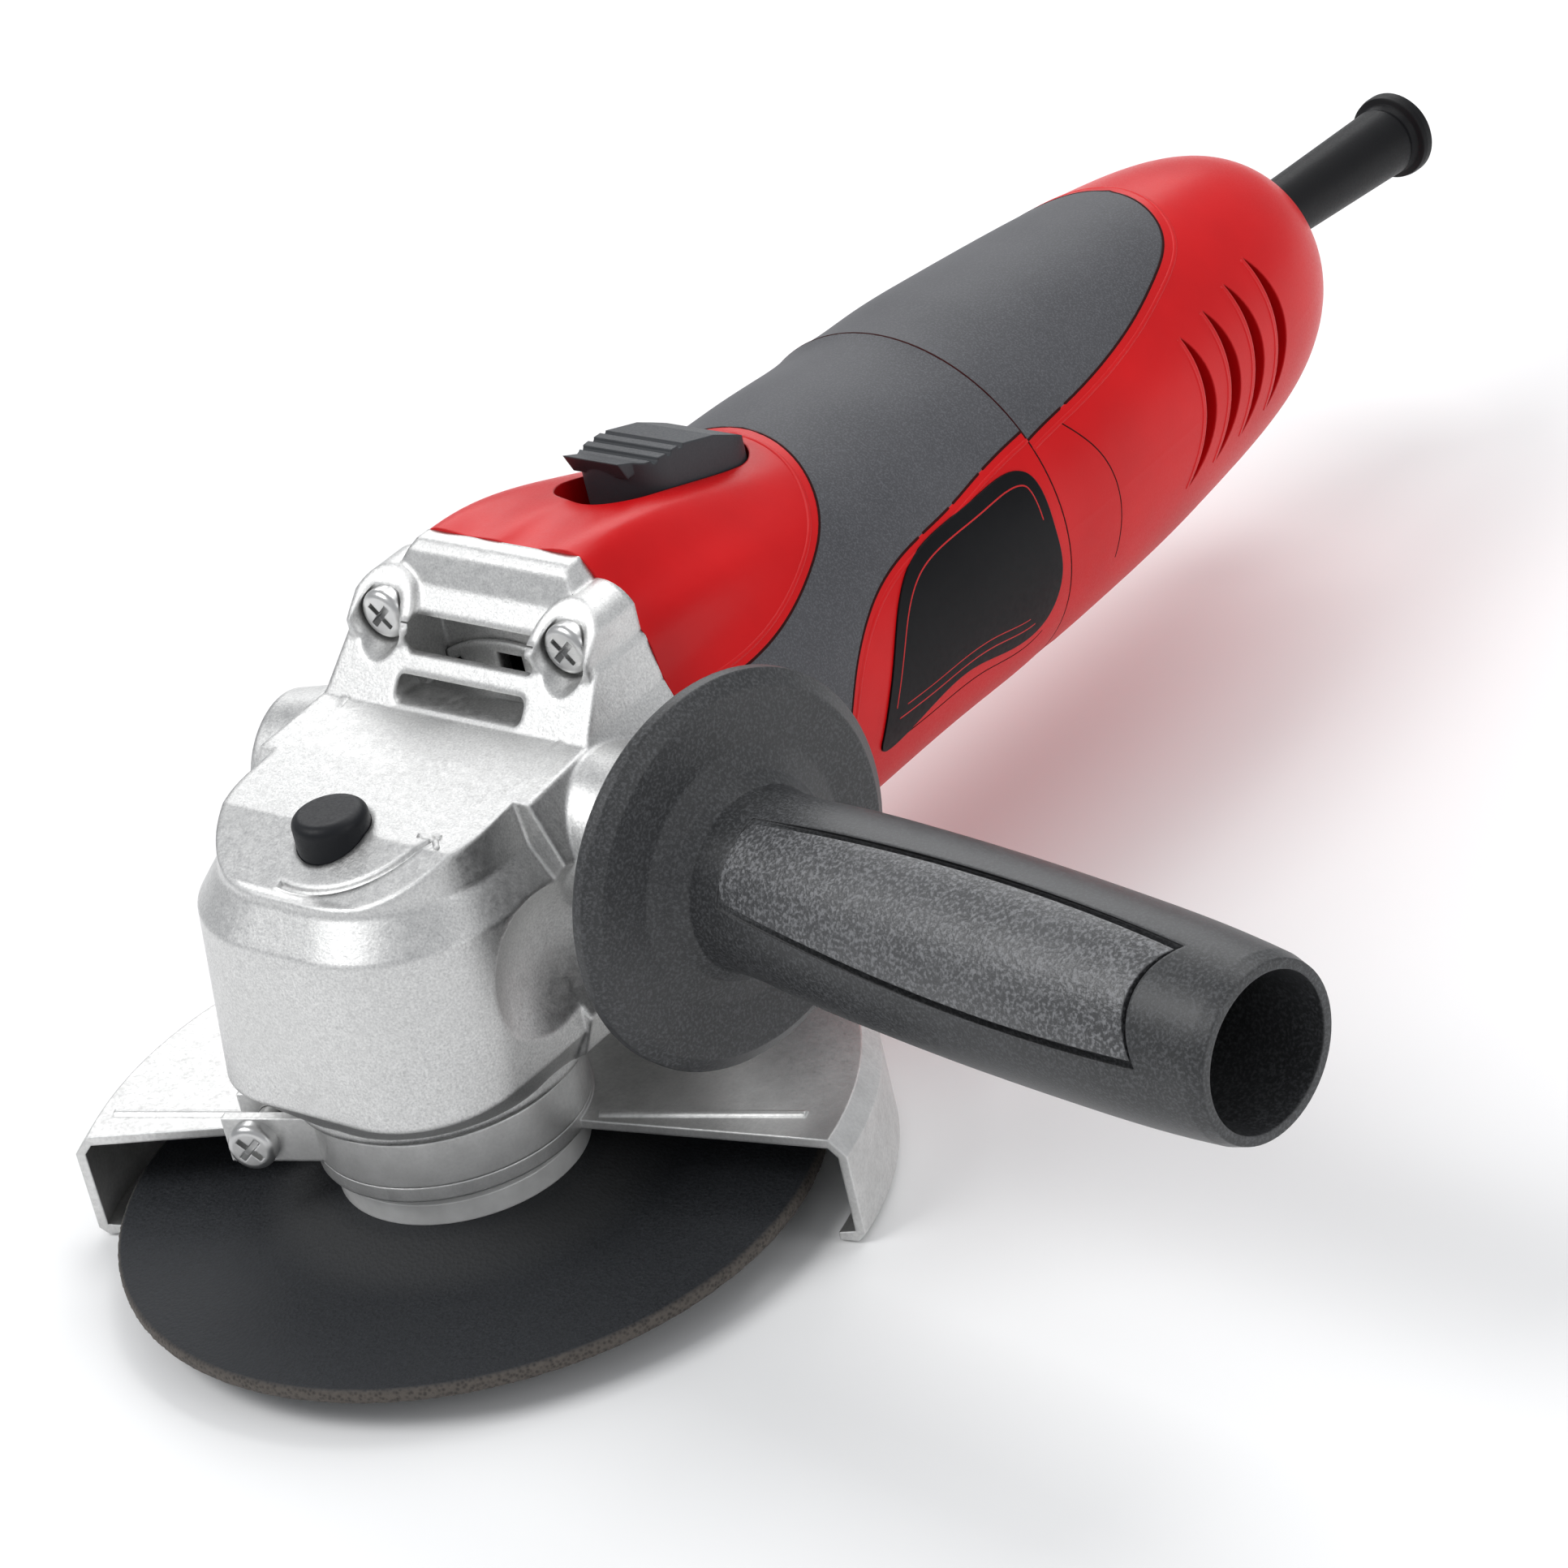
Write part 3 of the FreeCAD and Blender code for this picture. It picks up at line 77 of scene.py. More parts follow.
CAMERA_PLACE = (0.5616, -0.4955, 0.4757)
CAMERA_RIGHT = Vector((0.7802, 0.5921, -0.2018))
CAMERA_UP = Vector((-0.1629, 0.5037, 0.8485))
CAMERA_BACK = Vector((0.6040, -0.6291, 0.4894))
CAMERA_SENSOR = 36.0
CAMERA_LENS = 128.7
SKY_COLOUR = (0.95, 0.97, 1.0, 1.0)
SKY_STRENGTH = 0.52

camera_data = bpy.data.cameras.new("camera")
camera_data.sensor_width = CAMERA_SENSOR
camera_data.lens = CAMERA_LENS
camera_data.clip_end = 20.0
camera = bpy.data.objects.new("camera", camera_data)
scene.collection.objects.link(camera)
rotation = Matrix((CAMERA_RIGHT, CAMERA_UP, CAMERA_BACK)).transposed()
camera.matrix_world = Matrix.Translation(CAMERA_PLACE) @ rotation.to_4x4()
scene.camera = camera

world = bpy.data.worlds.new("studio")
world.use_nodes = True
background = world.node_tree.nodes["Background"]
background.inputs["Color"].default_value = SKY_COLOUR
background.inputs["Strength"].default_value = SKY_STRENGTH
scene.world = world


def area_light(name, place, target, size, power):
    # a rectangle of soft light, in metres and watts
    data = bpy.data.lights.new(name, "AREA")
    data.shape = "RECTANGLE"
    data.size = size[0]
    data.size_y = size[1]
    data.energy = power
    light = bpy.data.objects.new(name, data)
    scene.collection.objects.link(light)
    light.location = place
    light.rotation_mode = "QUATERNION"
    light.rotation_quaternion = (Vector(target) - Vector(place)).to_track_quat("-Z", "Y")


area_light("key_light", (-0.55, -0.75, 1.25), (0.0, 0.05, 0.04), (0.9, 0.6), 11.0)
area_light("fill_light", (1.35, 0.1, 0.55), (0.0, 0.08, 0.04), (0.8, 0.8), 4.0)
area_light("top_light", (0.1, 0.75, 1.3), (0.0, 0.1, 0.05), (1.2, 0.5), 6.0)
area_light("back_light", (-0.75, 1.0, 0.75), (0.0, 0.05, 0.06), (1.0, 0.6), 5.0)


# ---------------------------------------------------------------- materials

class Shader:
    """A node material in object space; lengths inside it are metres."""

    def __init__(self, name):
        self.material = bpy.data.materials.new(name)
        self.material.use_nodes = True
        self.tree = self.material.node_tree
        self.bsdf = self.tree.nodes["Principled BSDF"]
        self.place = self.tree.nodes.new("ShaderNodeTexCoord").outputs["Object"]
        self.normal = None

    def link(self, source, target):
        self.tree.links.new(source, target)

    def set(self, **values):
        for name, value in values.items():
            self.bsdf.inputs[name.replace("_", " ")].default_value = value

    def noise(self, scale, detail=4.0, roughness=0.55, stretch=None):
        node = self.tree.nodes.new("ShaderNodeTexNoise")
        node.inputs["Scale"].default_value = scale
        node.inputs["Detail"].default_value = detail
        node.inputs["Roughness"].default_value = roughness
        place = self.place
        if stretch:
            mapping = self.tree.nodes.new("ShaderNodeMapping")
            mapping.inputs["Scale"].default_value = stretch
            self.link(place, mapping.inputs["Vector"])
            place = mapping.outputs["Vector"]
        self.link(place, node.inputs["Vector"])
        return node.outputs["Fac"]

    def voronoi(self, scale):
        node = self.tree.nodes.new("ShaderNodeTexVoronoi")
        node.inputs["Scale"].default_value = scale
        self.link(self.place, node.inputs["Vector"])
        return node.outputs["Distance"]

    def ramp(self, source, low, high, low_value=0.0, high_value=1.0):
        node = self.tree.nodes.new("ShaderNodeMapRange")
        node.inputs["From Min"].default_value = low
        node.inputs["From Max"].default_value = high
        node.inputs["To Min"].default_value = low_value
        node.inputs["To Max"].default_value = high_value
        self.link(source, node.inputs["Value"])
        return node.outputs["Result"]

    def math(self, operation, first, second):
        node = self.tree.nodes.new("ShaderNodeMath")
        node.operation = operation
        for socket, value in zip(node.inputs, (first, second)):
            if isinstance(value, (int, float)):
                socket.default_value = value
            else:
                self.link(value, socket)
        return node.outputs["Value"]

    def blend(self, factor, first, second):
        node = self.tree.nodes.new("ShaderNodeMix")
        node.data_type = "RGBA"
        self.link(factor, node.inputs["Factor"])
        for socket, value in ((node.inputs[6], first), (node.inputs[7], second)):
            if isinstance(value, tuple):
                socket.default_value = (*value, 1.0)
            else:
                self.link(value, socket)
        return node.outputs[2]

    def axis(self, index):
        node = self.tree.nodes.new("ShaderNodeSeparateXYZ")
        self.link(self.place, node.inputs["Vector"])
        return node.outputs[index]

    def radius(self):
        # distance from the spindle axis
        x = self.axis(0)
        y = self.axis(1)
        total = self.math("ADD", self.math("MULTIPLY", x, x), self.math("MULTIPLY", y, y))
        return self.math("POWER", total, 0.5)

    def rounded(self, radius):
        # soft edges: the surface direction turns smoothly over this radius
        node = self.tree.nodes.new("ShaderNodeBevel")
        node.samples = 6
        node.inputs["Radius"].default_value = radius
        self.normal = node.outputs["Normal"]

    def edges(self, radius, low=0.02, high=0.25):
        # 1 on worn edges, 0 on flat faces
        bevel = self.tree.nodes.new("ShaderNodeBevel")
        bevel.samples = 6
        bevel.inputs["Radius"].default_value = radius
        geometry = self.tree.nodes.new("ShaderNodeNewGeometry")
        dot = self.tree.nodes.new("ShaderNodeVectorMath")
        dot.operation = "DOT_PRODUCT"
        self.link(bevel.outputs["Normal"], dot.inputs[0])
        self.link(geometry.outputs["Normal"], dot.inputs[1])
        return self.ramp(self.math("SUBTRACT", 1.0, dot.outputs["Value"]), low, high)

    def bump(self, height, strength, distance):
        node = self.tree.nodes.new("ShaderNodeBump")
        node.inputs["Strength"].default_value = strength
        node.inputs["Distance"].default_value = distance
        self.link(height, node.inputs["Height"])
        if self.normal:
            self.link(self.normal, node.inputs["Normal"])
        self.normal = node.outputs["Normal"]

    def finish(self, colour, roughness):
        self.link(colour, self.bsdf.inputs["Base Color"])
        self.link(roughness, self.bsdf.inputs["Roughness"])
        if self.normal:
            self.link(self.normal, self.bsdf.inputs["Normal"])
        return self.material


def cast_metal():
    s = Shader("cast_metal")
    s.set(Metallic=1.0)
    s.rounded(1.3 * MM)
    grain = s.noise(2600.0, 3.0, 0.7)
    coarse = s.noise(700.0, 4.0, 0.6)
    cloud = s.noise(45.0, 3.0)
    wear = s.edges(0.9 * MM, 0.03, 0.3)
    body = s.blend(s.ramp(grain, 0.3, 0.7), (0.48, 0.48, 0.48), (0.79, 0.79, 0.78))
    body = s.blend(s.ramp(cloud, 0.35, 0.7, 0.0, 0.35), body, (0.62, 0.62, 0.61))
    colour = s.blend(s.math("MULTIPLY", wear, 0.7), body, (0.88, 0.88, 0.87))
    s.bump(grain, 0.28, 0.10 * MM)
    s.bump(coarse, 0.25, 0.16 * MM)
    rough = s.math("SUBTRACT", s.ramp(coarse, 0.3, 0.7, 0.36, 0.50), s.math("MULTIPLY", wear, 0.12))
    return s.finish(colour, rough)


def turned_metal(name, dark, light, roughness, ring_scale=3200.0, metallic=1.0):
    s = Shader(name)
    s.set(Metallic=metallic)
    s.rounded(0.3 * MM)
    lines = s.noise(1.0, 1.0, 0.4, (40.0, 40.0, ring_scale))
    cloud = s.noise(160.0, 4.0)
    wear = s.edges(0.3 * MM, 0.03, 0.3)
    colour = s.blend(s.ramp(cloud, 0.3, 0.72), dark, light)
    colour = s.blend(s.math("MULTIPLY", wear, 0.5), colour, (0.85, 0.85, 0.86))
    s.bump(lines, 0.05, 0.02 * MM)
    rough = s.ramp(lines, 0.3, 0.7, roughness - 0.04, roughness + 0.06)
    return s.finish(colour, rough)


def zinc_sheet():
    s = Shader("zinc_sheet")
    s.set(Metallic=0.9)
    s.rounded(0.5 * MM)
    grain = s.noise(1500.0, 4.0, 0.65)
    spangle = s.voronoi(260.0)
    wear = s.edges(0.5 * MM, 0.03, 0.3)
    body = s.blend(s.ramp(spangle, 0.1, 0.8), (0.62, 0.62, 0.61), (0.72, 0.72, 0.71))
    body = s.blend(s.ramp(grain, 0.35, 0.65, 0.0, 0.4), body, (0.44, 0.44, 0.44))
    colour = s.blend(s.math("MULTIPLY", wear, 0.6), body, (0.86, 0.86, 0.86))
    s.bump(grain, 0.15, 0.07 * MM)
    return s.finish(colour, s.ramp(grain, 0.3, 0.7, 0.34, 0.48))


# a speckle is this many times brighter than the plastic around it
SPECKLE_BRIGHTNESS = 2.6


def moulded(name, dark, light, worn, roughness, grain_scale=2400.0, grain_depth=0.05, edge=0.5,
            level=0.5, speckle=0.0):
    """Plastic or rubber: grain_depth and edge are millimetres, level is the share of gloss."""
    s = Shader(name)
    s.set(Specular_IOR_Level=level)
    s.rounded(edge * MM)
    grain = s.noise(grain_scale, 3.0, 0.6)
    cloud = s.noise(38.0, 4.0)
    wear = s.edges(edge * MM, 0.04, 0.35)
    colour = s.blend(s.ramp(cloud, 0.3, 0.7), dark, light)
    if speckle:
        bright = tuple(min(1.0, SPECKLE_BRIGHTNESS * part) for part in light)
        colour = s.blend(s.ramp(grain, 0.46, 0.64, 0.0, speckle), colour, bright)
    worn_share = s.math("MULTIPLY", s.math("MULTIPLY", wear, 0.45), s.ramp(cloud, 0.3, 0.6, 0.4, 1.0))
    colour = s.blend(worn_share, colour, worn)
    s.bump(grain, 0.35, grain_depth * MM)
    rough = s.ramp(grain, 0.3, 0.7, roughness - 0.06, roughness + 0.07)
    return s.finish(colour, rough)


def abrasive():
    s = Shader("abrasive_disc")
    s.set(Specular_IOR_Level=0.35)
    grit = s.voronoi(1500.0)
    fine = s.noise(3600.0, 2.0, 0.7)
    cloud = s.noise(60.0, 3.0)
    radius = s.radius()
    rim = s.ramp(radius, 56.6 * MM, 57.3 * MM)
    inside = s.ramp(radius, 19.0 * MM, 24.0 * MM)
    outside = s.ramp(radius, 35.0 * MM, 28.0 * MM)
    dish = s.math("MULTIPLY", inside, outside)
    body = s.blend(s.ramp(fine, 0.35, 0.68), (0.008, 0.009, 0.011), (0.034, 0.037, 0.042))
    body = s.blend(s.ramp(cloud, 0.35, 0.7, 0.0, 0.35), body, (0.018, 0.020, 0.023))
    body = s.blend(s.math("MULTIPLY", dish, 0.4), body, (0.042, 0.042, 0.041))
    cut_edge = s.blend(s.ramp(grit, 0.1, 0.6), (0.030, 0.026, 0.023), (0.090, 0.078, 0.068))
    colour = s.blend(rim, body, cut_edge)
    s.bump(grit, 0.5, 0.18 * MM)
    s.bump(fine, 0.4, 0.10 * MM)
    return s.finish(colour, s.ramp(fine, 0.3, 0.7, 0.55, 0.82))


def laminated():
    s = Shader("laminated_iron")
    s.set(Metallic=0.9)
    sheets = s.noise(1.0, 1.0, 0.4, (20.0, 2400.0, 20.0))
    cloud = s.noise(120.0, 4.0)
    colour = s.blend(s.ramp(sheets, 0.4, 0.6), (0.20, 0.20, 0.21), (0.42, 0.42, 0.43))
    colour = s.blend(s.ramp(cloud, 0.4, 0.75, 0.0, 0.5), colour, (0.25, 0.21, 0.18))
    s.bump(sheets, 0.4, 0.12 * MM)
    return s.finish(colour, s.ramp(cloud, 0.3, 0.7, 0.38, 0.55))


def copper_wire():
    s = Shader("enamelled_copper")
    s.set(Metallic=0.85)
    strands = s.noise(1.0, 1.0, 0.4, (900.0, 120.0, 900.0))
    cloud = s.noise(90.0, 3.0)
    colour = s.blend(s.ramp(strands, 0.38, 0.62), (0.30, 0.11, 0.045), (0.66, 0.30, 0.13))
    colour = s.blend(s.ramp(cloud, 0.4, 0.7, 0.0, 0.4), colour, (0.38, 0.16, 0.07))
    s.bump(strands, 0.6, 0.2 * MM)
    return s.finish(colour, s.ramp(strands, 0.3, 0.7, 0.25, 0.42))


MATERIALS = {
    "cast_aluminium": cast_metal(),
    "screw_steel": turned_metal("screw_steel", (0.50, 0.50, 0.50), (0.74, 0.74, 0.73), 0.30, 400.0),
    "turned_steel": turned_metal("turned_steel", (0.55, 0.55, 0.56), (0.74, 0.74, 0.75), 0.24),
    "gear_steel": turned_metal("gear_steel", (0.24, 0.24, 0.25), (0.42, 0.42, 0.43), 0.34),
    "bearing_steel": turned_metal("bearing_steel", (0.58, 0.58, 0.59), (0.76, 0.76, 0.77), 0.18),
    "bush_bronze": turned_metal("bush_bronze", (0.46, 0.30, 0.13), (0.66, 0.48, 0.24), 0.32),
    "abrasive": abrasive(),
    "guard_sheet": zinc_sheet(),
    "red_housing": moulded(
        "red_housing", (0.52, 0.002, 0.004), (0.62, 0.004, 0.006), (0.70, 0.03, 0.03),
        roughness=0.34, grain_scale=2600.0, grain_depth=0.035, level=0.2),
    "soft_grip": moulded(
        "soft_grip", (0.050, 0.051, 0.057), (0.068, 0.069, 0.076), (0.11, 0.11, 0.12),
        roughness=0.56, grain_scale=3000.0, level=0.35, speckle=0.35),
    "label": moulded(
        "label_film", (0.003, 0.003, 0.004), (0.006, 0.006, 0.007), (0.015, 0.015, 0.015),
        roughness=0.36, grain_scale=900.0, grain_depth=0.01, edge=0.2, level=0.10),
    "black_plastic": moulded(
        "black_plastic", (0.018, 0.019, 0.020), (0.033, 0.034, 0.036), (0.09, 0.09, 0.095),
        roughness=0.44, grain_scale=2100.0, grain_depth=0.12, edge=0.6, level=0.45, speckle=0.7),
    "sleeve_rubber": moulded(
        "sleeve_rubber", (0.004, 0.004, 0.005), (0.008, 0.008, 0.009), (0.03, 0.03, 0.03),
        roughness=0.46, grain_scale=2200.0, level=0.16),
    "laminations": laminated(),
    "copper": copper_wire(),
    "carbon": moulded(
        "pressed_carbon", (0.014, 0.014, 0.015), (0.035, 0.035, 0.036), (0.10, 0.10, 0.10),
        roughness=0.6, grain_scale=1700.0, grain_depth=0.1, edge=0.3),
    "capacitor_case": moulded(
        "capacitor_case", (0.40, 0.30, 0.06), (0.52, 0.40, 0.10), (0.7, 0.6, 0.3),
        roughness=0.38, grain_scale=1400.0, edge=0.6),
}
PAD_MATERIAL = moulded(
    "handle_pad", (0.026, 0.027, 0.029), (0.064, 0.065, 0.068), (0.18, 0.18, 0.18),
    roughness=0.40, grain_scale=1700.0, grain_depth=0.36, edge=0.4, level=0.7, speckle=1.0)
FLANGE_MATERIAL = turned_metal(
    "flange_steel", (0.62, 0.62, 0.61), (0.80, 0.80, 0.79), 0.36, ring_scale=400.0, metallic=0.3)
SLIDER_MATERIAL = moulded(
    "slider_plastic", (0.022, 0.025, 0.030), (0.034, 0.038, 0.044), (0.08, 0.085, 0.09),
    roughness=0.5, grain_depth=0.06, level=0.4)
BUTTON_MATERIAL = moulded(
    "button_plastic", (0.006, 0.007, 0.009), (0.011, 0.012, 0.015), (0.03, 0.03, 0.035),
    roughness=0.46, level=0.22)
# painted shade: a near-black red for the shade inside the grooves and gaps of the red housing
GROOVE_SHADE_MATERIAL = moulded(
    "groove_shadow", (0.020, 0.002, 0.002), (0.035, 0.004, 0.004), (0.05, 0.01, 0.01),
    roughness=0.7, grain_scale=2000.0, grain_depth=0.03, edge=0.2, level=0.1)
LINE_MATERIAL = moulded(
    "red_line_print", (0.42, 0.004, 0.006), (0.56, 0.008, 0.010), (0.6, 0.03, 0.03),
    roughness=0.4, grain_scale=900.0, grain_depth=0.01, edge=0.1, level=0.3)

slots = {}
for row in frame["record"]["subparts"]:
    slots[row["node"]] = row["material_slot"]


def dress(obj, material):
    obj.data.materials.clear()
    obj.data.materials.append(material)


for name, obj in nodes.items():
    dress(obj, MATERIALS[slots[name]])
dress(nodes["handle_pads"], PAD_MATERIAL)
dress(nodes["inner_flange"], FLANGE_MATERIAL)
dress(nodes["switch_slider"], SLIDER_MATERIAL)
dress(nodes["lock_button"], BUTTON_MATERIAL)


# ---------------------------------------------------------------- floor

floor_shader = Shader("pale_floor")
floor_cloud = floor_shader.noise(3.0, 3.0)
FLOOR_MATERIAL = floor_shader.finish(
    floor_shader.blend(
        floor_shader.ramp(floor_cloud, 0.3, 0.7), (0.90, 0.90, 0.90), (0.93, 0.93, 0.93)),
    floor_shader.ramp(floor_cloud, 0.3, 0.7, 0.75, 0.85),
)
FLOOR_SIZE = 6.0
FLOOR_GAP = 0.5 * MM
floor_mesh = bmesh.new()
bmesh.ops.create_grid(floor_mesh, x_segments=8, y_segments=8, size=FLOOR_SIZE)
floor_data = bpy.data.meshes.new("floor")
floor_mesh.to_mesh(floor_data)
floor = bpy.data.objects.new("floor", floor_data)
floor.location = (0.0, 0.0, cad_low.z - FLOOR_GAP)
scene.collection.objects.link(floor)
dress(floor, FLOOR_MATERIAL)


# ---------------------------------------------------------------- helpers for fine pieces

def surface_tree(names):
    # one ray-casting tree over the surfaces of several nodes
    vertices = []
    polygons = []
    for name in names:
        mesh = nodes[name].data
        start = len(vertices)
        vertices.extend(vertex.co.copy() for vertex in mesh.vertices)
        polygons.extend([start + index for index in polygon.vertices] for polygon in mesh.polygons)
    return BVHTree.FromPolygons(vertices, polygons)


def cubic(points, count):
    # natural cubic spline through the points, sampled evenly along its length
    known = numpy.array(points, float)
    chord = numpy.linalg.norm(numpy.diff(known, axis=0), axis=1)
    at = numpy.concatenate([[0.0], numpy.cumsum(chord)])
    size = len(known)
    matrix = numpy.eye(size)
    right = numpy.zeros_like(known)
    for row in range(1, size - 1):
        before = at[row] - at[row - 1]
        after = at[row + 1] - at[row]
        matrix[row, row - 1:row + 2] = (before, 2 * (before + after), after)
        slope_after = (known[row + 1] - known[row]) / after
        slope_before = (known[row] - known[row - 1]) / before
        right[row] = 6 * (slope_after - slope_before)
    second = numpy.linalg.solve(matrix, right)
    result = []
    for place in numpy.linspace(0.0, at[-1], count):
        span = min(int(numpy.searchsorted(at, place, side="right")) - 1, size - 2)
        width = at[span + 1] - at[span]
        b = (place - at[span]) / width
        a = 1.0 - b
        bend = ((a ** 3 - a) * second[span] + (b ** 3 - b) * second[span + 1]) * width ** 2 / 6
        result.append(tuple(a * known[span] + b * known[span + 1] + bend))
    return result


def shifted(points, distance):
    # the same curve moved sideways in its plane
    known = numpy.array(points, float)
    along = numpy.gradient(known, axis=0)
    along /= numpy.linalg.norm(along, axis=1)[:, None]
    return [tuple(p + distance * numpy.array((-t[1], t[0]))) for p, t in zip(known, along)]


OUTSIDE = 90.0 * MM         # sideways distance that is clear of the body
ABOVE = 150.0 * MM          # height that is clear of the object


def side_hits(tree, curve, side):
    # where lines along X through (y, z) points in millimetres meet the body
    hits = []
    for y, z in curve:
        origin = Vector((side * OUTSIDE, y * MM, z * MM))
        place, normal, _, _ = tree.ray_cast(origin, Vector((-side, 0, 0)))
        if place is not None and place.x * side > 0:
            hits.append((place, normal if normal.x * side > 0 else -normal))
    return hits


def over_the_top(tree, curve):
    # a line up one side of the body, across the top and down the other
    left = side_hits(tree, curve, 1)
    right = side_hits(tree, curve, -1)
    y = 0.5 * (left[-1][0].y + right[-1][0].y) + 0.4 * MM
    place, normal, _, _ = tree.ray_cast(Vector((0, y, ABOVE)), Vector((0, 0, -1)))
    return left + [(place, normal)] + right[::-1]


def bead(name, hits, radius, proud, material, slot, closed=False):
    # round line of material lying along the surface, sunk until only "proud" millimetres stand out
    sides = 10
    radius *= MM
    proud *= MM
    centres = [place - normal * (radius - proud) for place, normal in hits]
    mesh = bmesh.new()
    rings = []
    count = len(centres)
    for index, (centre, (_, normal)) in enumerate(zip(centres, hits)):
        before = centres[(index - 1) % count] if closed or index else centre
        after = centres[(index + 1) % count] if closed or index < count - 1 else centre
        along = (after - before).normalized()
        across = along.cross(normal).normalized()
        lift = across.cross(along).normalized()
        ring = []
        for step in range(sides):
            angle = 2 * math.pi * step / sides
            out = across * math.cos(angle) + lift * math.sin(angle)
            ring.append(mesh.verts.new(centre + out * radius))
        rings.append(ring)
    pairs = list(zip(rings, rings[1:]))
    if closed:
        pairs.append((rings[-1], rings[0]))
    for first, second in pairs:
        for step in range(sides):
            following = (step + 1) % sides
            mesh.faces.new((first[step], first[following], second[following], second[step]))
    if not closed:
        mesh.faces.new(rings[0])
        mesh.faces.new(rings[-1][::-1])
    bmesh.ops.recalc_face_normals(mesh, faces=mesh.faces)
    finish_piece(name, mesh, material, "housing")


def finish_piece(name, mesh, material, body):
    data = bpy.data.meshes.new(name)
    mesh.to_mesh(data)
    mesh.free()
    data.shade_smooth()
    piece = bpy.data.objects.new(name, data)
    scene.collection.objects.link(piece)
    dress(piece, material)
    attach(piece, body)
    return piece


# ---------------------------------------------------------------- body lines

# points are (y, z) in millimetres, seen along X
PATCH_EDGE = [(41.0, 69.0), (53.0, 67.6), (66.0, 68.2), (80.0, 71.9), (92.0, 77.4), (101.0, 84.5)]
PANEL_EDGE = [
    (135.0, 67.0), (122.0, 66.4), (111.0, 65.4), (98.0, 64.8), (87.0, 62.4), (79.0, 57.4), (73.5, 50.0),
    (70.5, 40.0), (69.5, 28.0), (70.0, 12.0),
]
REAR_GRIP_EDGE = [
    (135.0, 65.4), (153.0, 66.0), (171.0, 67.2), (186.0, 69.2), (197.0, 71.6), (205.0, 76.0),
]
LABEL_OUTLINE = [
    (80.5, 40.0), (83.0, 47.0), (86.5, 53.5), (91.5, 59.5), (98.0, 63.2), (106.0, 64.3),
    (118.0, 64.2), (131.0, 61.6), (131.8, 52.0), (131.8, 43.0), (128.5, 36.4), (112.0, 37.4),
    (96.0, 38.8), (80.5, 40.0),
]
FLANK_LINE = [(144.0, 64.0), (149.0, 56.0), (150.6, 47.0), (149.0, 36.0)]
body_tree = surface_tree(["motor_housing", "rear_housing", "front_grip", "rear_grip"])
label_tree = surface_tree(["side_labels"])
RED = MATERIALS["red_housing"]

SIDES = ((1, "left"), (-1, "right"))
MOTOR_Z = 48.8              # height of the middle of the housings
VENTS = 4


def grip_border(name, edge, lip_offset, crosses_top):
    # a fine groove along the edge of the grip, drawn as a dark bead of painted shade, with a raised red
    # lip beside it
    curve = cubic(edge, 150)
    lines = (
        ("_groove", curve, 0.42, 0.09, GROOVE_SHADE_MATERIAL, "soft_grip"),
        ("_lip", shifted(curve, lip_offset), 0.75, 0.16, RED, "red_housing"),
    )
    if crosses_top:
        for kind, line, *style in lines:
            bead(name + kind, over_the_top(body_tree, line), *style)
        return
    for side, word in SIDES:
        for kind, line, *style in lines:
            bead(name + kind + "_" + word, side_hits(body_tree, line, side), *style)


def seam_gap():
    # a fine gap runs all round the joint between the two housings, drawn as a dark bead of painted
    # shade
    hits = []
    centre = Vector((0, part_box("rear_housing")[0].y, MOTOR_Z * MM))
    for step in range(180):
        angle = math.radians(2.0 * step)
        out = Vector((math.sin(angle), 0, math.cos(angle)))
        place = body_tree.ray_cast(centre + out * 80.0 * MM, -out)[0]
        hits.append((place, out))
    bead("seam_gap", hits, 0.38, 0.05, GROOVE_SHADE_MATERIAL, "red_housing", closed=True)


def label_lines(side, word):
    # printed red lines inside the label's edge, and a pressed groove below it, drawn as a bead of
    # painted shade
    outline = cubic(LABEL_OUTLINE, 260)
    inner = shifted(outline, -2.3)
    for name, line, radius, proud in (
            ("label_line_top_", inner[10:135], 0.26, 0.05),
            ("label_line_low_", inner[178:252], 0.26, 0.05),
            ("label_line_second_", shifted(outline, -4.0)[182:248], 0.2, 0.04)):
        bead(name + word, side_hits(label_tree, line, side), radius, proud, LINE_MATERIAL, "label")
    groove = side_hits(body_tree, shifted(outline, 2.2)[172:258], side)
    bead("label_groove_" + word, groove, 0.3, 0.05, GROOVE_SHADE_MATERIAL, "red_housing")


def flank_lines(side, word):
    # a pressed groove behind the label, drawn as a bead of painted shade, and a raised lip in front of
    # each air slot
    groove = side_hits(body_tree, cubic(FLANK_LINE, 60), side)
    bead("flank_groove_" + word, groove, 0.3, 0.05, GROOVE_SHADE_MATERIAL, "red_housing")
    for index in range(VENTS):
        top_y = 180.7 + 9.0 * index
        low_y = 172.9 + 9.5 * index
        top_z = 61.0 + 0.4 * index
        arc = cubic([(top_y - 0.9, top_z), (top_y - 1.5, 49.0), (low_y - 0.9, 36.6)], 40)
        name = "vent_lip_" + word + "_" + str(index + 1)
        bead(name, side_hits(body_tree, arc, side), 0.6, 0.14, RED, "red_housing")


grip_border("patch", PATCH_EDGE, 1.5, crosses_top=True)
grip_border("panel", PANEL_EDGE, 1.5, crosses_top=False)
grip_border("rear", REAR_GRIP_EDGE, -1.5, crosses_top=True)
seam_gap()
for side, word in SIDES:
    label_lines(side, word)
    flank_lines(side, word)


# ---------------------------------------------------------------- turning arrow on the gear head

head_tree = surface_tree(["gear_housing"])


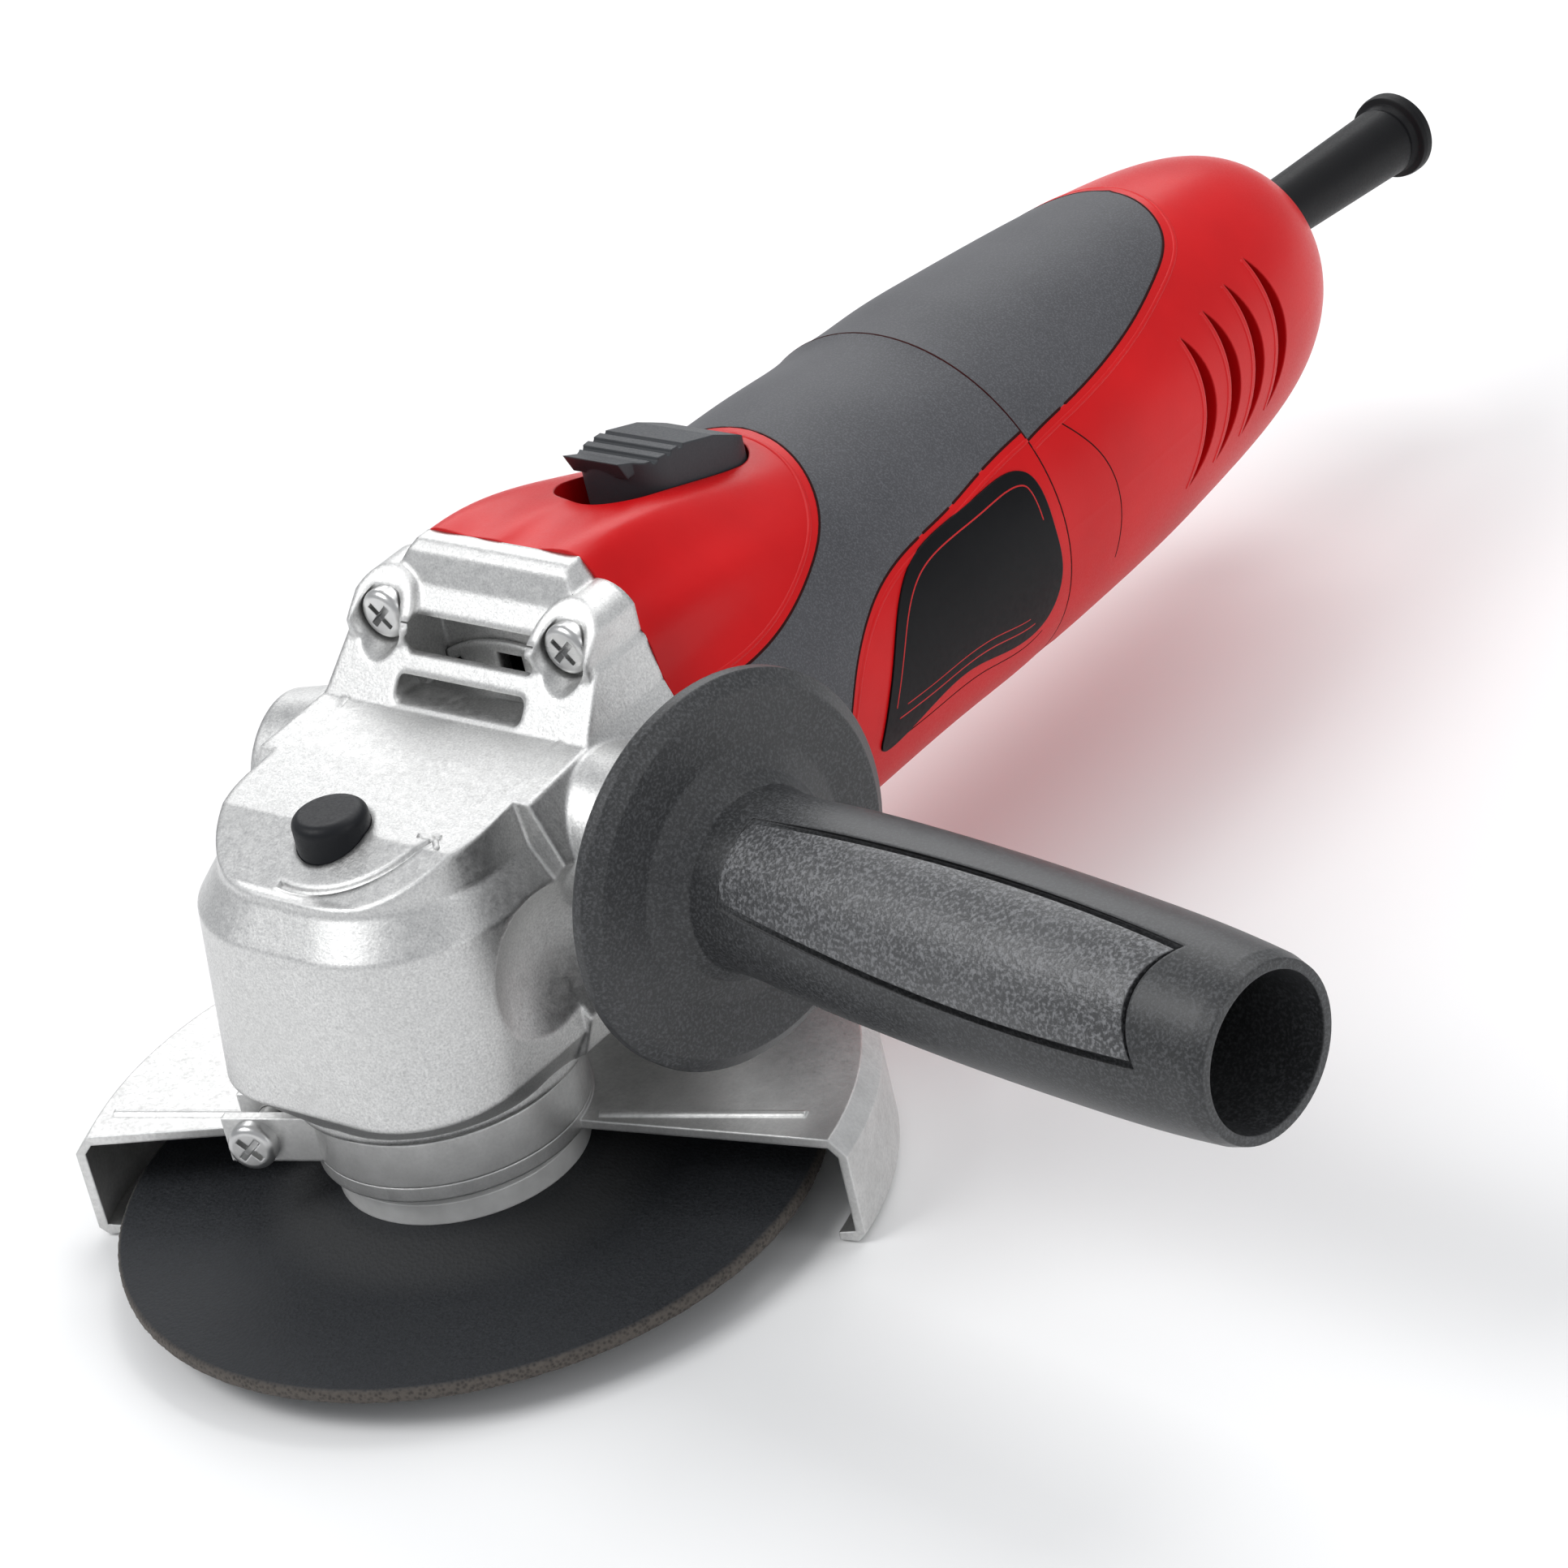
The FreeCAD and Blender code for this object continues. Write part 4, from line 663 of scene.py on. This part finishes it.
def from_above(tree, curve):
    # where lines straight down through (x, y) points in millimetres meet the surface
    hits = []
    for x, y in curve:
        place, normal, _, _ = tree.ray_cast(Vector((x * MM, y * MM, ABOVE)), Vector((0, 0, -1)))
        hits.append((place, normal if normal.z > 0 else -normal))
    return hits


def polar(radius, degrees):
    # a point round the spindle axis
    return radius * math.cos(math.radians(degrees)), radius * math.sin(math.radians(degrees))


ARROW_TIP_DEGREES = -14.5
BARB_END_DEGREES = -20.0
BARB_STEPS = 11
for name, tip_radius, end_radius in (
        ("arrow_barb_outer", 17.9, 21.6), ("arrow_barb_inner", 19.7, 16.0)):
    tip = Vector(polar(tip_radius, ARROW_TIP_DEGREES))
    end = Vector(polar(end_radius, BARB_END_DEGREES))
    line = [tip.lerp(end, step / BARB_STEPS) for step in range(BARB_STEPS + 1)]
    bead(name, from_above(head_tree, line), 0.6, 0.36, MATERIALS["cast_aluminium"], "cast_aluminium")


# ---------------------------------------------------------------- grinding disc

def lathe_mesh(profile, steps, ripple):
    # closed profile of (radius, height) in millimetres turned round the spindle, with a rough edge
    mesh = bmesh.new()
    rings = []
    for step in range(steps):
        angle = 2 * math.pi * step / steps
        ring = []
        for radius, height in profile:
            seed = Vector((math.cos(angle) * 40.0, math.sin(angle) * 40.0, height * 2.0))
            near_edge = max(0.0, min(1.0, (radius - 52.0) / 4.0))
            rough = ripple * near_edge * (0.5 + 0.5 * noise.noise(seed * 1.7))
            r = (radius - rough) * MM
            ring.append(mesh.verts.new((r * math.cos(angle), r * math.sin(angle), height * MM)))
        rings.append(ring)
    count = len(profile)
    for step in range(steps):
        first = rings[step]
        second = rings[(step + 1) % steps]
        for index in range(count):
            following = (index + 1) % count
            mesh.faces.new((first[index], first[following], second[following], second[index]))
    bmesh.ops.recalc_face_normals(mesh, faces=mesh.faces)
    return mesh


def rounded_profile(corners, steps=4, share=0.35, longest=2.5):
    # each corner becomes a small curve that takes this share of its sides
    result = []
    count = len(corners)
    for index in range(count):
        before = Vector(corners[index - 1])
        here = Vector(corners[index])
        after = Vector(corners[(index + 1) % count])
        reach = min(share * (before - here).length, share * (after - here).length, longest)
        start = here + (before - here).normalized() * reach
        end = here + (after - here).normalized() * reach
        for step in range(steps + 1):
            t = step / steps
            result.append(tuple((1 - t) ** 2 * start + 2 * t * (1 - t) * here + t ** 2 * end))
    return result


EDGE_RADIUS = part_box("grinding_disc")[1].x / MM - 0.02
BORE_RADIUS = 11.2
THICKNESS = 2.6
DISH = 3.6
DISC_STEPS = 540
EDGE_ROUGHNESS = 0.35
disc_profile = rounded_profile([
    (BORE_RADIUS, DISH), (21.0, DISH), (31.0, 0.0), (44.0, 0.0), (EDGE_RADIUS, 0.0),
    (EDGE_RADIUS, THICKNESS), (44.0, THICKNESS), (32.0, THICKNESS), (22.0, DISH + THICKNESS),
    (BORE_RADIUS, DISH + THICKNESS),
])
disc_mesh = lathe_mesh(disc_profile, DISC_STEPS, EDGE_ROUGHNESS)
disc = finish_piece("disc_body", disc_mesh, MATERIALS["abrasive"], "spindle")
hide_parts("grinding_disc")


# ---------------------------------------------------------------- steel copies of the springs listed as deforming

for joint in frame["record"]["behaviour"]["joints"]:
    for row in joint.get("deforming_nodes", []):
        node = row["node"]
        coil = bmesh.new()
        coil.from_mesh(nodes[node].data)
        steel = MATERIALS["bearing_steel"]
        piece = finish_piece(node + "_coil", coil, steel, "housing")
        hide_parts(node)
        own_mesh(piece)
